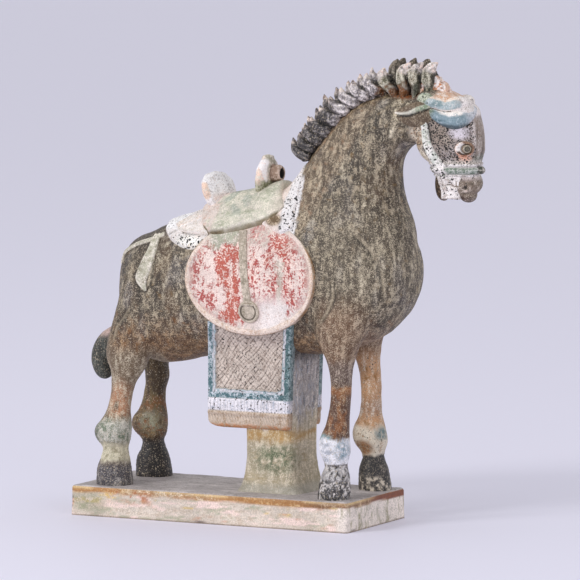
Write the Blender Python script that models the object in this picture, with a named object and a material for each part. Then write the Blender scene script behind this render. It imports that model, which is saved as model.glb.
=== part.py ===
"""A saddled pottery horse, glazed and painted, on a slab, with a pillar under its belly.

It is one fired piece, so it is one solid. X points where the horse looks, Y to its left and Z up. The
origin is at the middle of the slab's underside. The figure's own proportions are in units of which
332 make its height from the slab to the mane's tips, so at this size a unit is one millimetre.
"""

import math

import bmesh
import bpy
import numpy as np
from mathutils import Matrix, Vector
from mathutils.bvhtree import BVHTree

# Driving dimensions, in metres
FIGURE_HEIGHT = 0.332
SLAB_THICKNESS = 0.0237
SLAB_REAR_MARGIN = 0.0127
SLAB_FRONT_MARGIN = 0.0048
SLAB_SIDE_MARGIN = 0.0050
SLAB_CORNER = 0.0032
SLAB_EDGE = 0.0028
RELIEF = 0.0014

# The figure's unit and its stance, the rest of the proportions stand with the form that they shape
UNIT = FIGURE_HEIGHT / 332
NEAR_FORE_Y = -33.0
NEAR_HIND_Y = -29.0
FAR_FORE_Y = 31.0
FAR_HIND_Y = 30.0
HEAD_TURN = 10.0
POLL_X = 155.0
HEAD_SQUARENESS = 3.0
BODY_AXIS = 150.0
FLAP_X = 33.5
FLAP_Z = 164.0
FLAP_ROOT = 22.0
STIRRUP_X = 33.2
STIRRUP_Z = 139.0
STRAP_RAKE = 8.5
LEG_TOP = 110.0

# The pillar and the rug that is carved on both sides of its upper part
PILLAR_X = 38.5
PILLAR_LENGTH = 0.0400
PILLAR_WIDTH = 0.0500
PILLAR_ROUNDING = 0.0080
PILLAR_FLARE = 0.0065
RUG_X = 25.3
RUG_LENGTH = 0.0720
RUG_WIDTH = 0.0540
RUG_HEM_HEIGHT = 0.0480
RUG_BORDER = 0.0075
RUG_FRINGE = 0.0130
RUG_TAPER = 0.0034
RUG_BEADING = 0.0095

# The round flaps, the stirrup straps on them and the mane
FLAP_LENGTH = 0.1090
FLAP_DROP = 0.0870
FLAP_RIM = 0.0034
STIRRUP_STRAP_WIDTH = 0.0062
STIRRUP_RADIUS = 0.0086

# The fired clay with what is left of its glaze and paint
POTTERY_COLOUR = (0.150, 0.125, 0.100, 1.0)
POTTERY_ROUGHNESS = 0.5

# How finely the figure is cut
FIGURE_VOXEL = 0.0022
FIGURE_TRIANGLES = 1760

# Hooves, from which the slab takes its length and width
HIND_HOOF = (-91.0, 14.4)
FORE_HOOF = (101.8, 12.4)
slab_rear = (HIND_HOOF[0] - HIND_HOOF[1]) * UNIT - SLAB_REAR_MARGIN
slab_front = (FORE_HOOF[0] + FORE_HOOF[1]) * UNIT + SLAB_FRONT_MARGIN
slab_half_width = (FORE_HOOF[1] - NEAR_FORE_Y) * UNIT + SLAB_SIDE_MARGIN
slab_middle = (slab_rear + slab_front) / 2


def place(x, y, z):
    """A point of the figure, in its units above the slab, as a point of the part."""
    return Vector((x * UNIT - slab_middle, y * UNIT, SLAB_THICKNESS + z * UNIT))


# Mesh helpers
def run_through(rows, count, keys=3):
    """The rows as `count` rows along a smooth curve through them, spaced by their first `keys` numbers."""
    rows = np.array(rows, dtype=float)
    gaps = np.linalg.norm(np.diff(rows[:, :keys], axis=0), axis=1)
    along = np.concatenate([[0.0], np.cumsum(gaps)])
    slopes = np.gradient(rows, along, axis=0)
    at = np.linspace(0.0, along[-1], count)
    i = np.clip(np.searchsorted(along, at, side="right") - 1, 0, len(along) - 2)
    span = (along[i + 1] - along[i])[:, None]
    t = (at - along[i])[:, None] / span
    start = (2 * t**3 - 3 * t**2 + 1) * rows[i] + (t**3 - 2 * t**2 + t) * span * slopes[i]
    end = (3 * t**2 - 2 * t**3) * rows[i + 1] + (t**3 - t**2) * span * slopes[i + 1]
    return start + end


def mesh_object(name, build):
    """A new object whose mesh is what `build` puts into a bmesh, with its faces turned outwards."""
    bm = bmesh.new()
    build(bm)
    bmesh.ops.recalc_face_normals(bm, faces=bm.faces)
    mesh = bpy.data.meshes.new(name)
    bm.to_mesh(mesh)
    bm.free()
    obj = bpy.data.objects.new(name, mesh)
    bpy.context.scene.collection.objects.link(obj)
    return obj


def loft(name, rings):
    """A closed solid through rings of points, each ring with as many points as the next."""

    def build(bm):
        loops = [[bm.verts.new(point) for point in ring] for ring in rings]
        for lower, upper in zip(loops, loops[1:]):
            for k in range(len(lower)):
                nxt = (k + 1) % len(lower)
                bm.faces.new((lower[k], lower[nxt], upper[nxt], upper[k]))
        bm.faces.new(loops[0][::-1])
        bm.faces.new(loops[-1])

    return mesh_object(name, build)


def ring(centre, across, along, power=2.0, egg=0.0, sides=28):
    """Points round a centre, squarer as power grows and wider at +along by egg."""
    points = []
    for k in range(sides):
        angle = 2 * math.pi * k / sides
        c, s = math.cos(angle), math.sin(angle)
        c = math.copysign(abs(c) ** (2 / power), c)
        s = math.copysign(abs(s) ** (2 / power), s)
        points.append(centre + along * c + across * (s * (1 + egg * c)))
    return points


def direction(x, y, z):
    """A step of the figure, in its units, as a step of the part."""
    return Vector((x, y, z)) * UNIT


# The figure's forms
def trunk():
    # Station along the body, the height of its top and of its bottom, half width
    stations = [
        (-96.5, 161, 145, 6),
        (-95, 168.5, 136.5, 12),
        (-90, 181.5, 119.5, 22.5),
        (-82, 188.5, 106.5, 31),
        (-72, 193, 96, 37),
        (-60, 198, 92.5, 40),
        (-45, 203, 94, 41),
        (-15, 212, 101, 42),
        (20, 220, 104, 43),
        (55, 229, 104.5, 42.5),
        (85, 228, 106, 42),
        (110, 219.5, 113.5, 40.5),
        (130, 210.5, 125.5, 36),
        (143, 199.5, 140.5, 28),
        (149, 188.5, 154.5, 17),
        (150.8, 179, 165, 7),
    ]
    rings = []
    for x, top, bottom, half_width in run_through(stations, 60, keys=1):
        middle = place(x, 0, (top + bottom) / 2)
        down = direction(0, 0, (bottom - top) / 2)
        rings.append(ring(middle, direction(0, half_width, 0), down, 2.2, 0.06))
    return loft("trunk", rings)


def neck():
    # Crest point, throat point, half thickness
    stations = [
        (28, 0, 205, 132, 0, 136, 34),
        (43, 0, 226, 149, 0, 170, 36),
        (55, 0, 240, 148, 0, 199, 32),
        (64, 0, 254, 141, 0, 222, 27),
        (75, 0, 268, 138, 0, 240, 24),
        (88, 0, 283, 139, 0, 254, 22),
        (103, 0, 294.5, 145, 0, 263, 21),
        (122, 0, 302.5, 154, 0, 268, 20),
        (140, 0, 305, 166, 0, 272, 18),
        (154, 0, 303, 178, 0, 278, 15),
    ]
    rings = []
    for row in run_through(stations, 44):
        crest, throat = place(*row[:3]), place(*row[3:6])
        rings.append(ring((crest + throat) / 2, direction(0, row[6], 0), (throat - crest) / 2, 2.1, 0.22))
    return loft("neck", rings)


def head_turn():
    """The head looks a little to its left: a turn about the upright through the poll."""
    pivot = place(POLL_X, 0, 0)
    turn = Matrix.Rotation(math.radians(HEAD_TURN), 4, "Z")
    return Matrix.Translation(pivot) @ turn @ Matrix.Translation(-pivot)


def head_ring(z, back, front, half_width, egg, swell=0.0, sides=28):
    """A level ring round the head, `swell` outside its skin."""
    turn = head_turn()
    middle = place((back + front) / 2, 0, z)
    along = direction((front - back) / 2 + swell, 0, 0)
    across = direction(0, half_width + swell, 0)
    return [turn @ point for point in ring(middle, across, along, HEAD_SQUARENESS, egg, sides)]


# Height, back of the head, front of the face, half width, how much the face is narrower than the jowl
HEAD_ROWS = [
    (308.5, 159, 174, 9, 0.0),
    (304, 154, 184, 15, 0.0),
    (296, 151, 198, 18, -0.05),
    (286, 150.5, 201.5, 19, -0.08),
    (272, 154, 204, 18.5, -0.12),
    (262, 158.5, 204, 17.5, -0.12),
    (255, 163, 202, 16.0, -0.10),
    (248, 167, 200.5, 14.5, -0.05),
    (240, 169, 199, 13.0, 0.0),
    (233, 171.5, 195, 11.5, 0.0),
    (229, 174, 191, 8.5, 0.0),
]


def head_row(z):
    """The head's measures at a height."""
    rows = run_through(HEAD_ROWS, 400, keys=1)
    return min(rows, key=lambda row: abs(row[0] - z))[1:]


def head():
    rings = [head_ring(*row) for row in run_through(HEAD_ROWS, 36, keys=1)]
    return loft("head", rings)


def egg_shape(name, centre, half_axes):
    """An ellipsoid on the head, from its place and half-axes before the head is turned."""
    turn = head_turn()
    scale = Matrix.Diagonal((*direction(*half_axes), 1))

    def build(bm):
        matrix = turn @ Matrix.Translation(place(*centre)) @ scale
        bmesh.ops.create_uvsphere(bm, u_segments=20, v_segments=12, radius=1, matrix=matrix)

    return mesh_object(name, build)


def muzzle():
    """The nose, the upper lip that hangs from it, the chin and the jowls."""
    return [
        egg_shape("nose", (193.5, 0, 238.5), (10, 12, 9.5)),
        egg_shape("upper_lip", (192.5, 0, 228.5), (6.5, 8, 5)),
        egg_shape("chin", (173.5, 0, 237), (7, 10, 13)),
        egg_shape("near_jowl", (169.5, -11, 271), (15, 9, 18)),
        egg_shape("far_jowl", (169.5, 11, 271), (15, 9, 18)),
    ]


def teeth():
    """The block of bared teeth between the upper lip and the chin."""
    rings = []
    for z, swell in ((226.5, -1.0), (228.5, 1.0), (246, 1.1), (248, -1.0)):
        back, front, half_width, _ = head_row(max(z, 233))
        middle = place((back + front) / 2 - 2.5, 0, z)
        along = direction((front - back) / 2 - 4.5, 0, 0)
        across = direction(0, half_width * 0.94 + swell, 0)
        turn = head_turn()
        rings.append([turn @ point for point in ring(middle, across, along, 4.0, sides=14)])
    return loft("teeth", rings)


def leg(name, stations, y, shift, lean):
    """A leg from its rows, all of it `shift` further forward and its foot `lean` more than its top."""
    rings = []
    for x, _, z, half_x, half_y, in_y in run_through(stations, 60):
        side = math.copysign(1.0, y)
        reach = shift + lean * max(0.0, 1 - z / LEG_TOP)
        centre = place(x + reach, y + side * in_y, z)
        rings.append(ring(centre, direction(0, half_y, 0), direction(half_x, 0, 0), 2.15))
    return loft(name, rings)


def hind_leg(name, y, shift=0.0, lean=0.0, slim=0.0, pastern=9.4):
    """Slim takes that much off the thigh's front under the belly, `pastern` is its half length there."""
    # Centre, height, half length, half width, shift outwards
    return leg(
        name,
        [
            (-60, 0, 172, 18, 9, -4),
            (-61, 0, 160, 22.5, 14, -4),
            (-64, 0, 140, 24, 16, -4),
            (-71, 0, 120, 23, 16, -3),
            (-77, 0, 106, 20, 15, -1.5),
            (-79.5 - slim / 2, 0, 96, 16.6 - slim / 2, 13.5, -0.5),
            (-79.5 - slim / 2, 0, 88, 12.8 - slim / 2, 12, 0),
            (-82.5, 0, 79, 9.7, 9.8, 0),
            (-85, 0, 67, 8.3, 8.6, 0),
            (-87.2, 0, 57, 9.4, 9.2, 0),
            (-89.2, 0, 50, 11.6, 10.8, 0),
            (-91.6, 0, 44.5, 14.0, 12.6, 0),
            (-92.2, 0, 38.5, 14.4, 13.2, 0),
            (-91.4, 0, 33, 12.8, 12.2, 0),
            (-90.0, 0, 28, pastern, 9.6, 0),
            (-90.2, 0, 22, pastern + 1, 10.6, 0),
            (-91.0, 0, 14, 12.5, 12.4, 0),
            (-91.0, 0, 5, 14.0, 13.6, 0),
            (-91.0, 0, -3, 14.4, 14.0, 0),
        ],
        y,
        shift,
        lean,
    )


def fore_leg(name, y, shift=0.0, lean=0.0, knuckle=1.0):
    return leg(
        name,
        [
            (104, 0, 172, 18, 10, -10),
            (104, 0, 160, 25, 15, -9),
            (103, 0, 142, 25, 17, -7),
            (103, 0, 126, 20.5, 16.5, -4),
            (103.5, 0, 114, 14.5, 14, -1.5),
            (104.5, 0, 106, 11.0, 11.4, 0),
            (105.3, 0, 97, 8.8, 9.2, 0),
            (105.5, 0, 84, 7.9, 8.2, 0),
            (104.2, 0, 68, 7.9, 8.2, 0),
            (102.2, 0, 55, 9.4, 9.0, 0),
            (100.4, 0, 47, 11.2 * knuckle, 10.6 * knuckle, 0),
            (99.9, 0, 41.5, 12.0 * knuckle, 11.6 * knuckle, 0),
            (100.4, 0, 35, 11.6 * knuckle, 11.4 * knuckle, 0),
            (101.0, 0, 29, 9.4, 9.6, 0),
            (101.2, 0, 25, 8.2, 8.6, 0),
            (100.4, 0, 18, 10.4, 10.4, 0),
            (100.0, 0, 10, 11.8, 11.8, 0),
            (99.6, 0, 1, 12.6, 12.4, 0),
            (99.6, 0, -3, 12.8, 12.4, 0),
        ],
        y,
        shift,
        lean,
    )


def tail():
    """A short bound tail that leaves the rump low and hangs close to it."""
    stations = [
        (-86, 0, 117, 6, 6),
        (-101, 0, 113.5, 7, 7.5),
        (-112, 0, 106, 8.2, 9),
        (-117.3, 0, 96, 8.8, 9.5),
        (-117, 0, 87, 8.2, 9),
        (-113.5, 0, 79.5, 5.4, 6.5),
        (-112, 0, 77, 2.4, 3),
    ]
    rows = run_through(stations, 22)
    rings = []
    for k, (x, _, z, half_x, half_y) in enumerate(rows):
        nearby = rows[min(k + 1, len(rows) - 1)] - rows[max(k - 1, 0)]
        run = Vector((nearby[0], 0, nearby[2])).normalized()
        side = Vector((0, 1, 0)).cross(run)
        rings.append(ring(place(x, 0, z), direction(0, half_y, 0), side * (half_x * UNIT), 2.0, sides=20))
    return loft("tail", rings)


def apply_modifiers(obj):
    graph = bpy.context.evaluated_depsgraph_get()
    mesh = bpy.data.meshes.new_from_object(obj.evaluated_get(graph))
    obj.modifiers.clear()
    obj.data = mesh


def fused(name, pieces, voxel, rounds, triangles):
    """The pieces melted into one skin, with its creases softened, and cut down to so many triangles."""
    bm = bmesh.new()
    for piece in pieces:
        bm.from_mesh(piece.data)
        bpy.data.objects.remove(piece)
    mesh = bpy.data.meshes.new(name)
    bmesh.ops.triangulate(bm, faces=bm.faces)
    bm.to_mesh(mesh)
    bm.free()
    obj = bpy.data.objects.new(name, mesh)
    bpy.context.scene.collection.objects.link(obj)
    remesh = obj.modifiers.new("Melt", "REMESH")
    remesh.mode = "VOXEL"
    remesh.voxel_size = voxel
    soften = obj.modifiers.new("Soften", "SMOOTH")
    soften.factor = 0.5
    soften.iterations = rounds
    apply_modifiers(obj)
    decimate = obj.modifiers.new("Thin", "DECIMATE")
    decimate.ratio = triangles / (2 * len(obj.data.polygons))
    apply_modifiers(obj)
    return obj


# The slab, the pillar and the rug
def rounded_rectangle(centre, half_x, half_y, rounding, per_corner):
    points = []
    for corner, (sx, sy) in enumerate(((1, 1), (-1, 1), (-1, -1), (1, -1))):
        middle = centre + Vector((sx * (half_x - rounding), sy * (half_y - rounding), 0))
        for k in range(per_corner + 1):
            angle = math.radians(90 * (corner + k / per_corner))
            points.append(middle + Vector((math.cos(angle), math.sin(angle), 0)) * rounding)
    return points


def slab():
    half_x = (slab_front - slab_rear) / 2
    rings = [rounded_rectangle(Vector((0, 0, 0)), half_x, slab_half_width, SLAB_CORNER, 4)]
    steps = 3
    for k in range(steps + 1):
        angle = math.radians(90 * k / steps)
        inset = SLAB_EDGE * (1 - math.cos(angle))
        height = SLAB_THICKNESS - SLAB_EDGE * (1 - math.sin(angle))
        middle = Vector((0, 0, height))
        rings.append(
            rounded_rectangle(middle, half_x - inset, slab_half_width - inset, SLAB_CORNER - inset, 4)
        )
    return loft("slab", rings)


def pillar():
    """A rounded block that spreads where it meets the slab and ends inside the belly."""
    # Height, how much of the flare is left
    rows = [(-3, 1.25), (0, 1.0), (4, 0.62), (10, 0.32), (20, 0.1), (34, 0.0), (60, 0.1), (125, 0.3)]
    rings = []
    for z, flare in rows:
        spread = PILLAR_FLARE * flare
        rings.append(
            rounded_rectangle(
                place(PILLAR_X, 0, z),
                PILLAR_LENGTH / 2 + spread,
                PILLAR_WIDTH / 2 + spread / 2,
                PILLAR_ROUNDING,
                4,
            )
        )
    return loft("pillar", rings)


def rug_height(z):
    """A height above the rug's hem as a height of the part."""
    return SLAB_THICKNESS + RUG_HEM_HEIGHT + z


def plate(name, outline, y_from, y_to):
    """A plate between two values of Y, from its outline of (x, z) in metres."""
    rings = [[Vector((x, y, z)) for x, z in outline] for y in (y_from, y_to)]
    return loft(name, rings)


def rug_sides():
    rear = place(RUG_X, 0, 0).x - RUG_LENGTH / 2
    front = place(RUG_X, 0, 0).x + RUG_LENGTH / 2
    return rear, front


def rug_block():
    """The pillar's upper part, as long as the rug that is carved on its sides."""
    rear, front = rug_sides()
    depth = RUG_WIDTH / 2 - RELIEF
    rounding = 0.006
    # Height above the hem, how far the rear lower edge is drawn in, how far the front is
    rows = [
        (RELIEF, 0.012, RUG_TAPER),
        (0.0035, 0.0055, RUG_TAPER),
        (0.0070, 0.0018, RUG_TAPER * 0.9),
        (0.0120, 0.0006, RUG_TAPER * 0.8),
        (place(0, 0, 132).z - rug_height(0), 0.0006, 0.0),
    ]
    rings = []
    for height, rear_in, front_in in rows:
        low, high = rear + rear_in, front - front_in
        centre = Vector(((low + high) / 2, 0, rug_height(height)))
        rings.append(rounded_rectangle(centre, (high - low) / 2, depth, rounding, 3))
    return loft("rug_block", rings)


# How much further out the rug lies where it comes over the belly: height, step out
RUG_DRAPE = [(106, 0), (110, 0.4), (113, 1.8), (116, 4.0), (120, 7.2), (125, 10.4), (130, 12.8)]
# How far forward it goes for each step out
RUG_LEAN = 0.5


def rug_relief(side):
    """One side's rug: its field, the border that stands proud of it, a beaded band and the fringe."""
    rear, front = rug_sides()
    top = place(0, 0, 130).z
    hem = rug_height(0)
    fringe_top = hem + RUG_FRINGE
    bead_top = fringe_top + RUG_BEADING
    deep = side * (RUG_WIDTH / 2 - 0.006)
    face = side * RUG_WIDTH / 2
    pieces = []

    def front_at(z):
        return front - RUG_TAPER * (top - z) / (top - hem)

    def bar(name, from_rear, from_front, z_from, z_to, proud):
        """A bar between two shares of the way from the rug's rear edge to its front edge."""
        corners = []
        for z in (z_from, z_to):
            length = front_at(z) - rear
            corners.append((rear + from_rear * length, rear + from_front * length, z))
        (a, b, low), (c, d, high) = corners
        pieces.append(plate(name, [(a, low), (b, low), (d, high), (c, high)], deep, face + side * proud))

    border = RUG_BORDER / RUG_LENGTH
    bar("rug_field", 0.02, 0.98, fringe_top, top, 0.0)
    bar("rear_border", 0.0, border, bead_top, top, RELIEF)
    bar("front_border", 1 - border, 1.0, bead_top, top, RELIEF)
    bar("hem_border", 0.0, 1.0, bead_top, bead_top + RUG_BORDER, RELIEF)
    bar("beading", 0.004, 0.996, fringe_top, bead_top + 0.0003, RELIEF * 1.5)
    corner = 0.012
    outline = [(front_at(fringe_top) - 0.0006, fringe_top + 0.0003), (rear + 0.0006, fringe_top + 0.0003)]
    for k in range(6):
        angle = math.radians(180 + 90 * k / 5)
        x = rear + 0.0006 + corner * (1 + math.cos(angle))
        outline.append((x, hem + corner / 2 * (1 + math.sin(angle))))
    outline.append((front_at(hem) - 0.0006, hem))
    pieces.append(plate("fringe", outline, deep, face + side * RELIEF * 0.8))
    rings = []
    for z, step_out in RUG_DRAPE:
        height = place(0, 0, z).z
        ahead = RUG_LEAN * step_out * UNIT
        low, high = rear + 0.0008 + ahead, front_at(height) - 0.0008 + ahead
        out = face + side * (step_out * UNIT + RELIEF * 0.6)
        corners = ((low, deep), (high, deep), (high, out), (low, out))
        rings.append([Vector((x, y, height)) for x, y in corners])
    pieces.append(loft("rug_drape", rings))
    return pieces


# What lies on the figure's skin
def skin_of(obj):
    bm = bmesh.new()
    bm.from_mesh(obj.data)
    tree = BVHTree.FromBMesh(bm)
    bm.free()
    return tree


def on_back(skin, x, degrees):
    """Where the skin is hit from outside towards the body's axis, and the way out of it there."""
    angle = math.radians(degrees)
    out = Vector((0, math.sin(angle), math.cos(angle)))
    axis = place(x, 0, BODY_AXIS)
    hit = skin.ray_cast(axis + out * 0.3, -out)[0]
    return hit, out


def layer(name, skin, columns, lift, sink):
    """A closed sheet on the back, from columns of (x, degrees) and its lift above the skin at each."""
    outer, inner = [], []
    for u, column in enumerate(columns):
        outer.append([])
        inner.append([])
        for v, (x, degrees) in enumerate(column):
            hit, out = on_back(skin, x, degrees)
            outer[-1].append(hit + out * lift(u, v))
            inner[-1].append(hit - out * sink)

    def build(bm):
        tops = [[bm.verts.new(point) for point in row] for row in outer]
        bottoms = [[bm.verts.new(point) for point in row] for row in inner]
        rows, cols = len(tops), len(tops[0])
        for i in range(rows - 1):
            for j in range(cols - 1):
                bm.faces.new((tops[i][j], tops[i + 1][j], tops[i + 1][j + 1], tops[i][j + 1]))
                bm.faces.new((bottoms[i][j], bottoms[i][j + 1], bottoms[i + 1][j + 1], bottoms[i + 1][j]))
        rim = [(i, 0) for i in range(rows)] + [(rows - 1, j) for j in range(1, cols)]
        rim += [(i, cols - 1) for i in range(rows - 2, -1, -1)] + [(0, j) for j in range(cols - 2, 0, -1)]
        for (i, j), (k, m) in zip(rim, rim[1:] + rim[:1]):
            bm.faces.new((tops[i][j], tops[k][m], bottoms[k][m], bottoms[i][j]))

    return mesh_object(name, build)


def between(low, high, t):
    return low + (high - low) * t


def saddle_layer(name, skin, rows, lift, sink, across):
    """A sheet over the back from rows of rear, front and how far down it hangs, along its length."""
    stations = run_through(rows, 10, keys=1)
    columns = []
    for along, hang, rear_skew in stations:
        column = []
        for k in range(across):
            v = 2 * k / (across - 1) - 1
            column.append((along + rear_skew * abs(v) ** 1.5, hang * v))
        columns.append(column)
    last = across - 1

    def lifted(u, v):
        return lift(u / (len(columns) - 1), abs(2 * v / last - 1)) * UNIT

    return layer(name, skin, columns, lifted, sink)


def blanket(skin):
    """The white blanket, with a rear edge that folds over and a front edge that climbs the neck."""
    rows = [(-56, 21, 4), (-47, 34.6, 4), (-37, 42.4, 3), (-23, 47.2, 2), (-1, 43, 1)]
    rows += [(22, 38, 0), (44, 38, 1), (54, 37.5, 3), (61, 33.5, 6)]

    def lift(u, v):
        return 3.4 if u < 0.3 else between(3.4, 2.5, (u - 0.3) / 0.7)

    return saddle_layer("blanket", skin, rows, lift, 0.007, 9)


def skirt(skin):
    """The saddle's skirt and seat, highest along the spine."""
    rows = [(-26, 33, 14), (-8, 39.5, 4), (10, 39, 0), (22, 36.5, 1), (31, 33.8, 3), (36.5, 30.5, 7.5)]
    rows += [(40, 26.5, 12), (42, 21, 14)]

    def lift(u, v):
        seat = 5.5 * max(0.0, 1 - (v / 0.6) ** 2) * min(1.0, 0.3 + 2.5 * u)
        over_flap = 4.4 * min(1.0, max(0.0, (v - 0.45) / 0.45)) * max(0.0, 1 - ((u - 0.46) / 0.52) ** 2)
        return 4.6 + seat + over_flap

    return saddle_layer("skirt", skin, rows, lift, 0.002, 11)


def paddle(name, x, lean, rows):
    """An upright rounded board across the back, from rows of height, half width and half thickness."""
    rings = []
    for z, half_width, half_thick in run_through(rows, 7, keys=1):
        share = (z - rows[0][0]) / (rows[-1][0] - rows[0][0])
        centre = place(x + lean * share, 0, z)
        rings.append(ring(centre, direction(0, half_width, 0), direction(half_thick, 0, 0), 2.4, sides=12))
    return loft(name, rings)


def saddle_bows():
    """The cantle, and the pommel with the holed boss on its front."""
    cantle = [(205, 9, 4), (211, 12, 5.4), (217, 18, 6.4), (224, 22.6, 6.6), (230, 23, 6.2), (236, 18, 5)]
    pommel = [(212, 9, 4), (224, 14, 4.6), (233, 17, 5), (240, 16.8, 5), (246, 14, 4.8), (249.6, 9.6, 4.4)]
    # Station, radius: out round the boss's rim and back into its hole
    boss = [(28, 5.8), (36, 6.4), (38.8, 5.2), (38.8, 4.2), (33, 3.2)]
    return [
        paddle("cantle", -10, -9, [*cantle, (240.4, 4, 2)]),
        paddle("pommel", 25.6, 1.4, [*pommel, (254.9, 3.4, 2.4)]),
        loft("boss", [disc_ring(x, 241, radius) for x, radius in boss]),
    ]


def disc_ring(x, z, radius):
    return ring(place(x, 0, z), direction(0, radius, 0), direction(0, 0, radius), 2.0, sides=10)


def flap_depth(x, z):
    """How far from the middle the round flap's field stands at a station and a height of the figure."""
    above, below = max(0.0, z - 160), max(0.0, 160 - z)
    return 46.5 - 0.0062 * above**2 - 0.0040 * below**2 - 0.0006 * (x - FLAP_X) ** 2


def flap(side):
    """A round flap: a raised rim round a field that follows the flank."""
    half_x = FLAP_LENGTH / 2 / UNIT
    half_z = FLAP_DROP / 2 / UNIT
    rim = FLAP_RIM / UNIT
    sides = 26

    proud = RELIEF / UNIT

    def outline(inset):
        turns = [2 * math.pi * k / sides for k in range(sides)]
        return [
            (FLAP_X + (half_x - inset) * math.cos(turn), FLAP_Z + (half_z - inset) * math.sin(turn))
            for turn in turns
        ]

    rings = [[place(x, side * FLAP_ROOT, z) for x, z in outline(0.0)]]
    for inset, lift in ((0.0, 0.0), (0.9, proud), (rim - 0.8, proud * 0.7), (rim, 0.0)):
        rings.append([on_flap(x, z, side, lift) for x, z in outline(inset)])
    return loft("flap", rings)


def on_flap(x, z, side, lift):
    return place(x, side * (flap_depth(x, z) + lift), z)


def stirrup(side):
    """The stirrup's strap down the flap, and the round iron at its end."""
    half = STIRRUP_STRAP_WIDTH / 2 / UNIT
    proud = RELIEF / UNIT
    top, end, radius = 200.0, STIRRUP_Z, STIRRUP_RADIUS / UNIT
    sides = 10
    rings = []
    for k in range(7):
        z = between(top, end, k / 6)
        x = STIRRUP_X - STRAP_RAKE * (1 - k / 6) ** 1.3
        rings.append(
            [
                on_flap(x - half, z, side, -2),
                on_flap(x - half, z, side, proud),
                on_flap(x + half, z, side, proud),
                on_flap(x + half, z, side, -2),
            ]
        )
    strap = loft("stirrup_strap", rings)
    rings = []
    for share, lift in ((1.0, -2.0), (1.0, proud * 0.9), (0.82, proud * 1.3), (0.72, proud * 0.5)):
        rings.append(
            [
                on_flap(
                    STIRRUP_X + radius * share * math.cos(2 * math.pi * k / sides),
                    end + radius * share * math.sin(2 * math.pi * k / sides),
                    side,
                    lift,
                )
                for k in range(sides)
            ]
        )
    return [strap, loft("stirrup_iron", rings)]


def strap(name, skin, points, half_widths, lift, sink=1.6, count=7):
    """A band laid on the skin through points of the figure, with its half width at each."""
    rows = [(*point, width) for point, width in zip(points, half_widths)]
    path = run_through(rows, count)
    places, normals = [], []
    for x, y, z, _ in path:
        spot, normal, _, _ = skin.find_nearest(place(x, y, z))
        places.append(spot)
        normals.append(normal)
    rings = []
    for k, spot in enumerate(places):
        before, after = max(k - 1, 0), min(k + 1, len(places) - 1)
        run = (places[after] - places[before]).normalized()
        up = (normals[before] + normals[k] * 2 + normals[after]).normalized()
        side = up.cross(run).normalized()
        half = path[k][3] * UNIT
        low, high = up * (-sink * UNIT), up * (lift * UNIT)
        rings.append(
            [
                spot - side * half + low,
                spot - side * half * 0.75 + high,
                spot + side * half * 0.75 + high,
                spot + side * half + low,
            ]
        )
    return loft(name, rings)


def crupper(skin, side):
    """The strap over the croup and the leaf-shaped ribbon that hangs from it."""
    leaf = [(-57, 20, 192), (-57, 30, 181), (-59.5, 35.5, 170), (-61.5, 38.5, 160), (-57.5, 40, 150.5)]
    croup = [(-50, 21, 192), (-62, 22.5, 188), (-82, 18, 181), (-93, 9, 168)]
    return [
        strap("leaf_ribbon", skin, [(x, side * y, z) for x, y, z in leaf], (3.2, 4.6, 5.8, 5.2, 0.8), 1.5),
        strap("croup_strap", skin, [(x, side * y, z) for x, y, z in croup], (2.2, 2.2, 2.0, 1.6), 1.2),
    ]


# The head's trappings and hair
def turned(x, y, z):
    """A point of the figure on the head, from its place before the head is turned, in figure units."""
    point = head_turn() @ place(x, y, z)
    return ((point.x + slab_middle) / UNIT, point.y / UNIT, (point.z - SLAB_THICKNESS) / UNIT)


def noseband():
    """A round band on the muzzle between two thin ones, and the knob on its front."""
    # Height, how far outside the skin
    profile = [(243.7, -0.6), (244.6, 1.1), (246, 0.8), (248.4, 2.4), (250.8, 0.8), (252.4, 1.1)]
    profile.append((253.5, -0.6))
    rings = [head_ring(z, *head_row(z), swell, 16) for z, swell in profile]
    return [loft("noseband", rings), bead("noseband_knob", (203.4, -5.0, 248.4), (3.6, 3.2, 3.0))]


def bead(name, centre, half_axes):
    """A small ellipsoid on the head, from its place and half-axes before the head is turned."""
    turn = head_turn()
    x, y, z = centre
    half_x, half_y, half_z = half_axes
    rings = []
    for k in range(1, 6):
        angle = math.pi * k / 6
        across = direction(0, half_y * math.sin(angle), 0)
        along = direction(half_x * math.sin(angle), 0, 0)
        level = place(x, y, z - half_z * math.cos(angle))
        rings.append([turn @ point for point in ring(level, across, along, 2.0, sides=6)])
    return loft(name, rings)


def head_trappings(skin, side):
    """The cheek strap, the eye and the knot that the strap and the forelock come from."""
    cheek = [(160, 20, 296), (163, 20, 282), (165.5, 19, 269), (170.5, 17, 258), (175.5, 15, 250)]
    cheek = [turned(x, side * y, z) for x, y, z in cheek]
    return [
        strap("cheek_strap", skin, cheek, (2.2, 2.8, 3.4, 3.8, 4.0), 1.6, 1.6, 8),
        eye(skin, turned(195.6, side * 16.3, 264.9)),
        bead("knot", (163, side * 15.2, 301.6), (6.2, 4.6, 4.8)),
    ]


def eye(skin, at):
    """A lid drawn out towards the back, with the ball at the front of it."""
    hit, out, _, _ = skin.find_nearest(place(*at))
    rearwards = out.cross(Vector((0, 0, 1))).normalized()
    if rearwards.x > 0:
        rearwards = -rearwards
    up = rearwards.cross(out)
    rings = []
    # Radius, how proud it stands, how far its ring is drawn out
    rows = [(6.2, -2.0, 1.9), (5.6, 1.6, 1.9), (4.2, 1.4, 1.0), (3.4, 1.2, 0.0), (1.2, 2.6, 0.0)]
    for radius, lift, drawn in rows:
        centre = hit + out * (lift * UNIT) + rearwards * (drawn * UNIT)
        long = rearwards * ((radius + drawn * 0.8) * UNIT)
        rings.append(ring(centre, long, up * (radius * 0.94 * UNIT), 2.0, sides=10))
    return loft("eye", rings)


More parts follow.
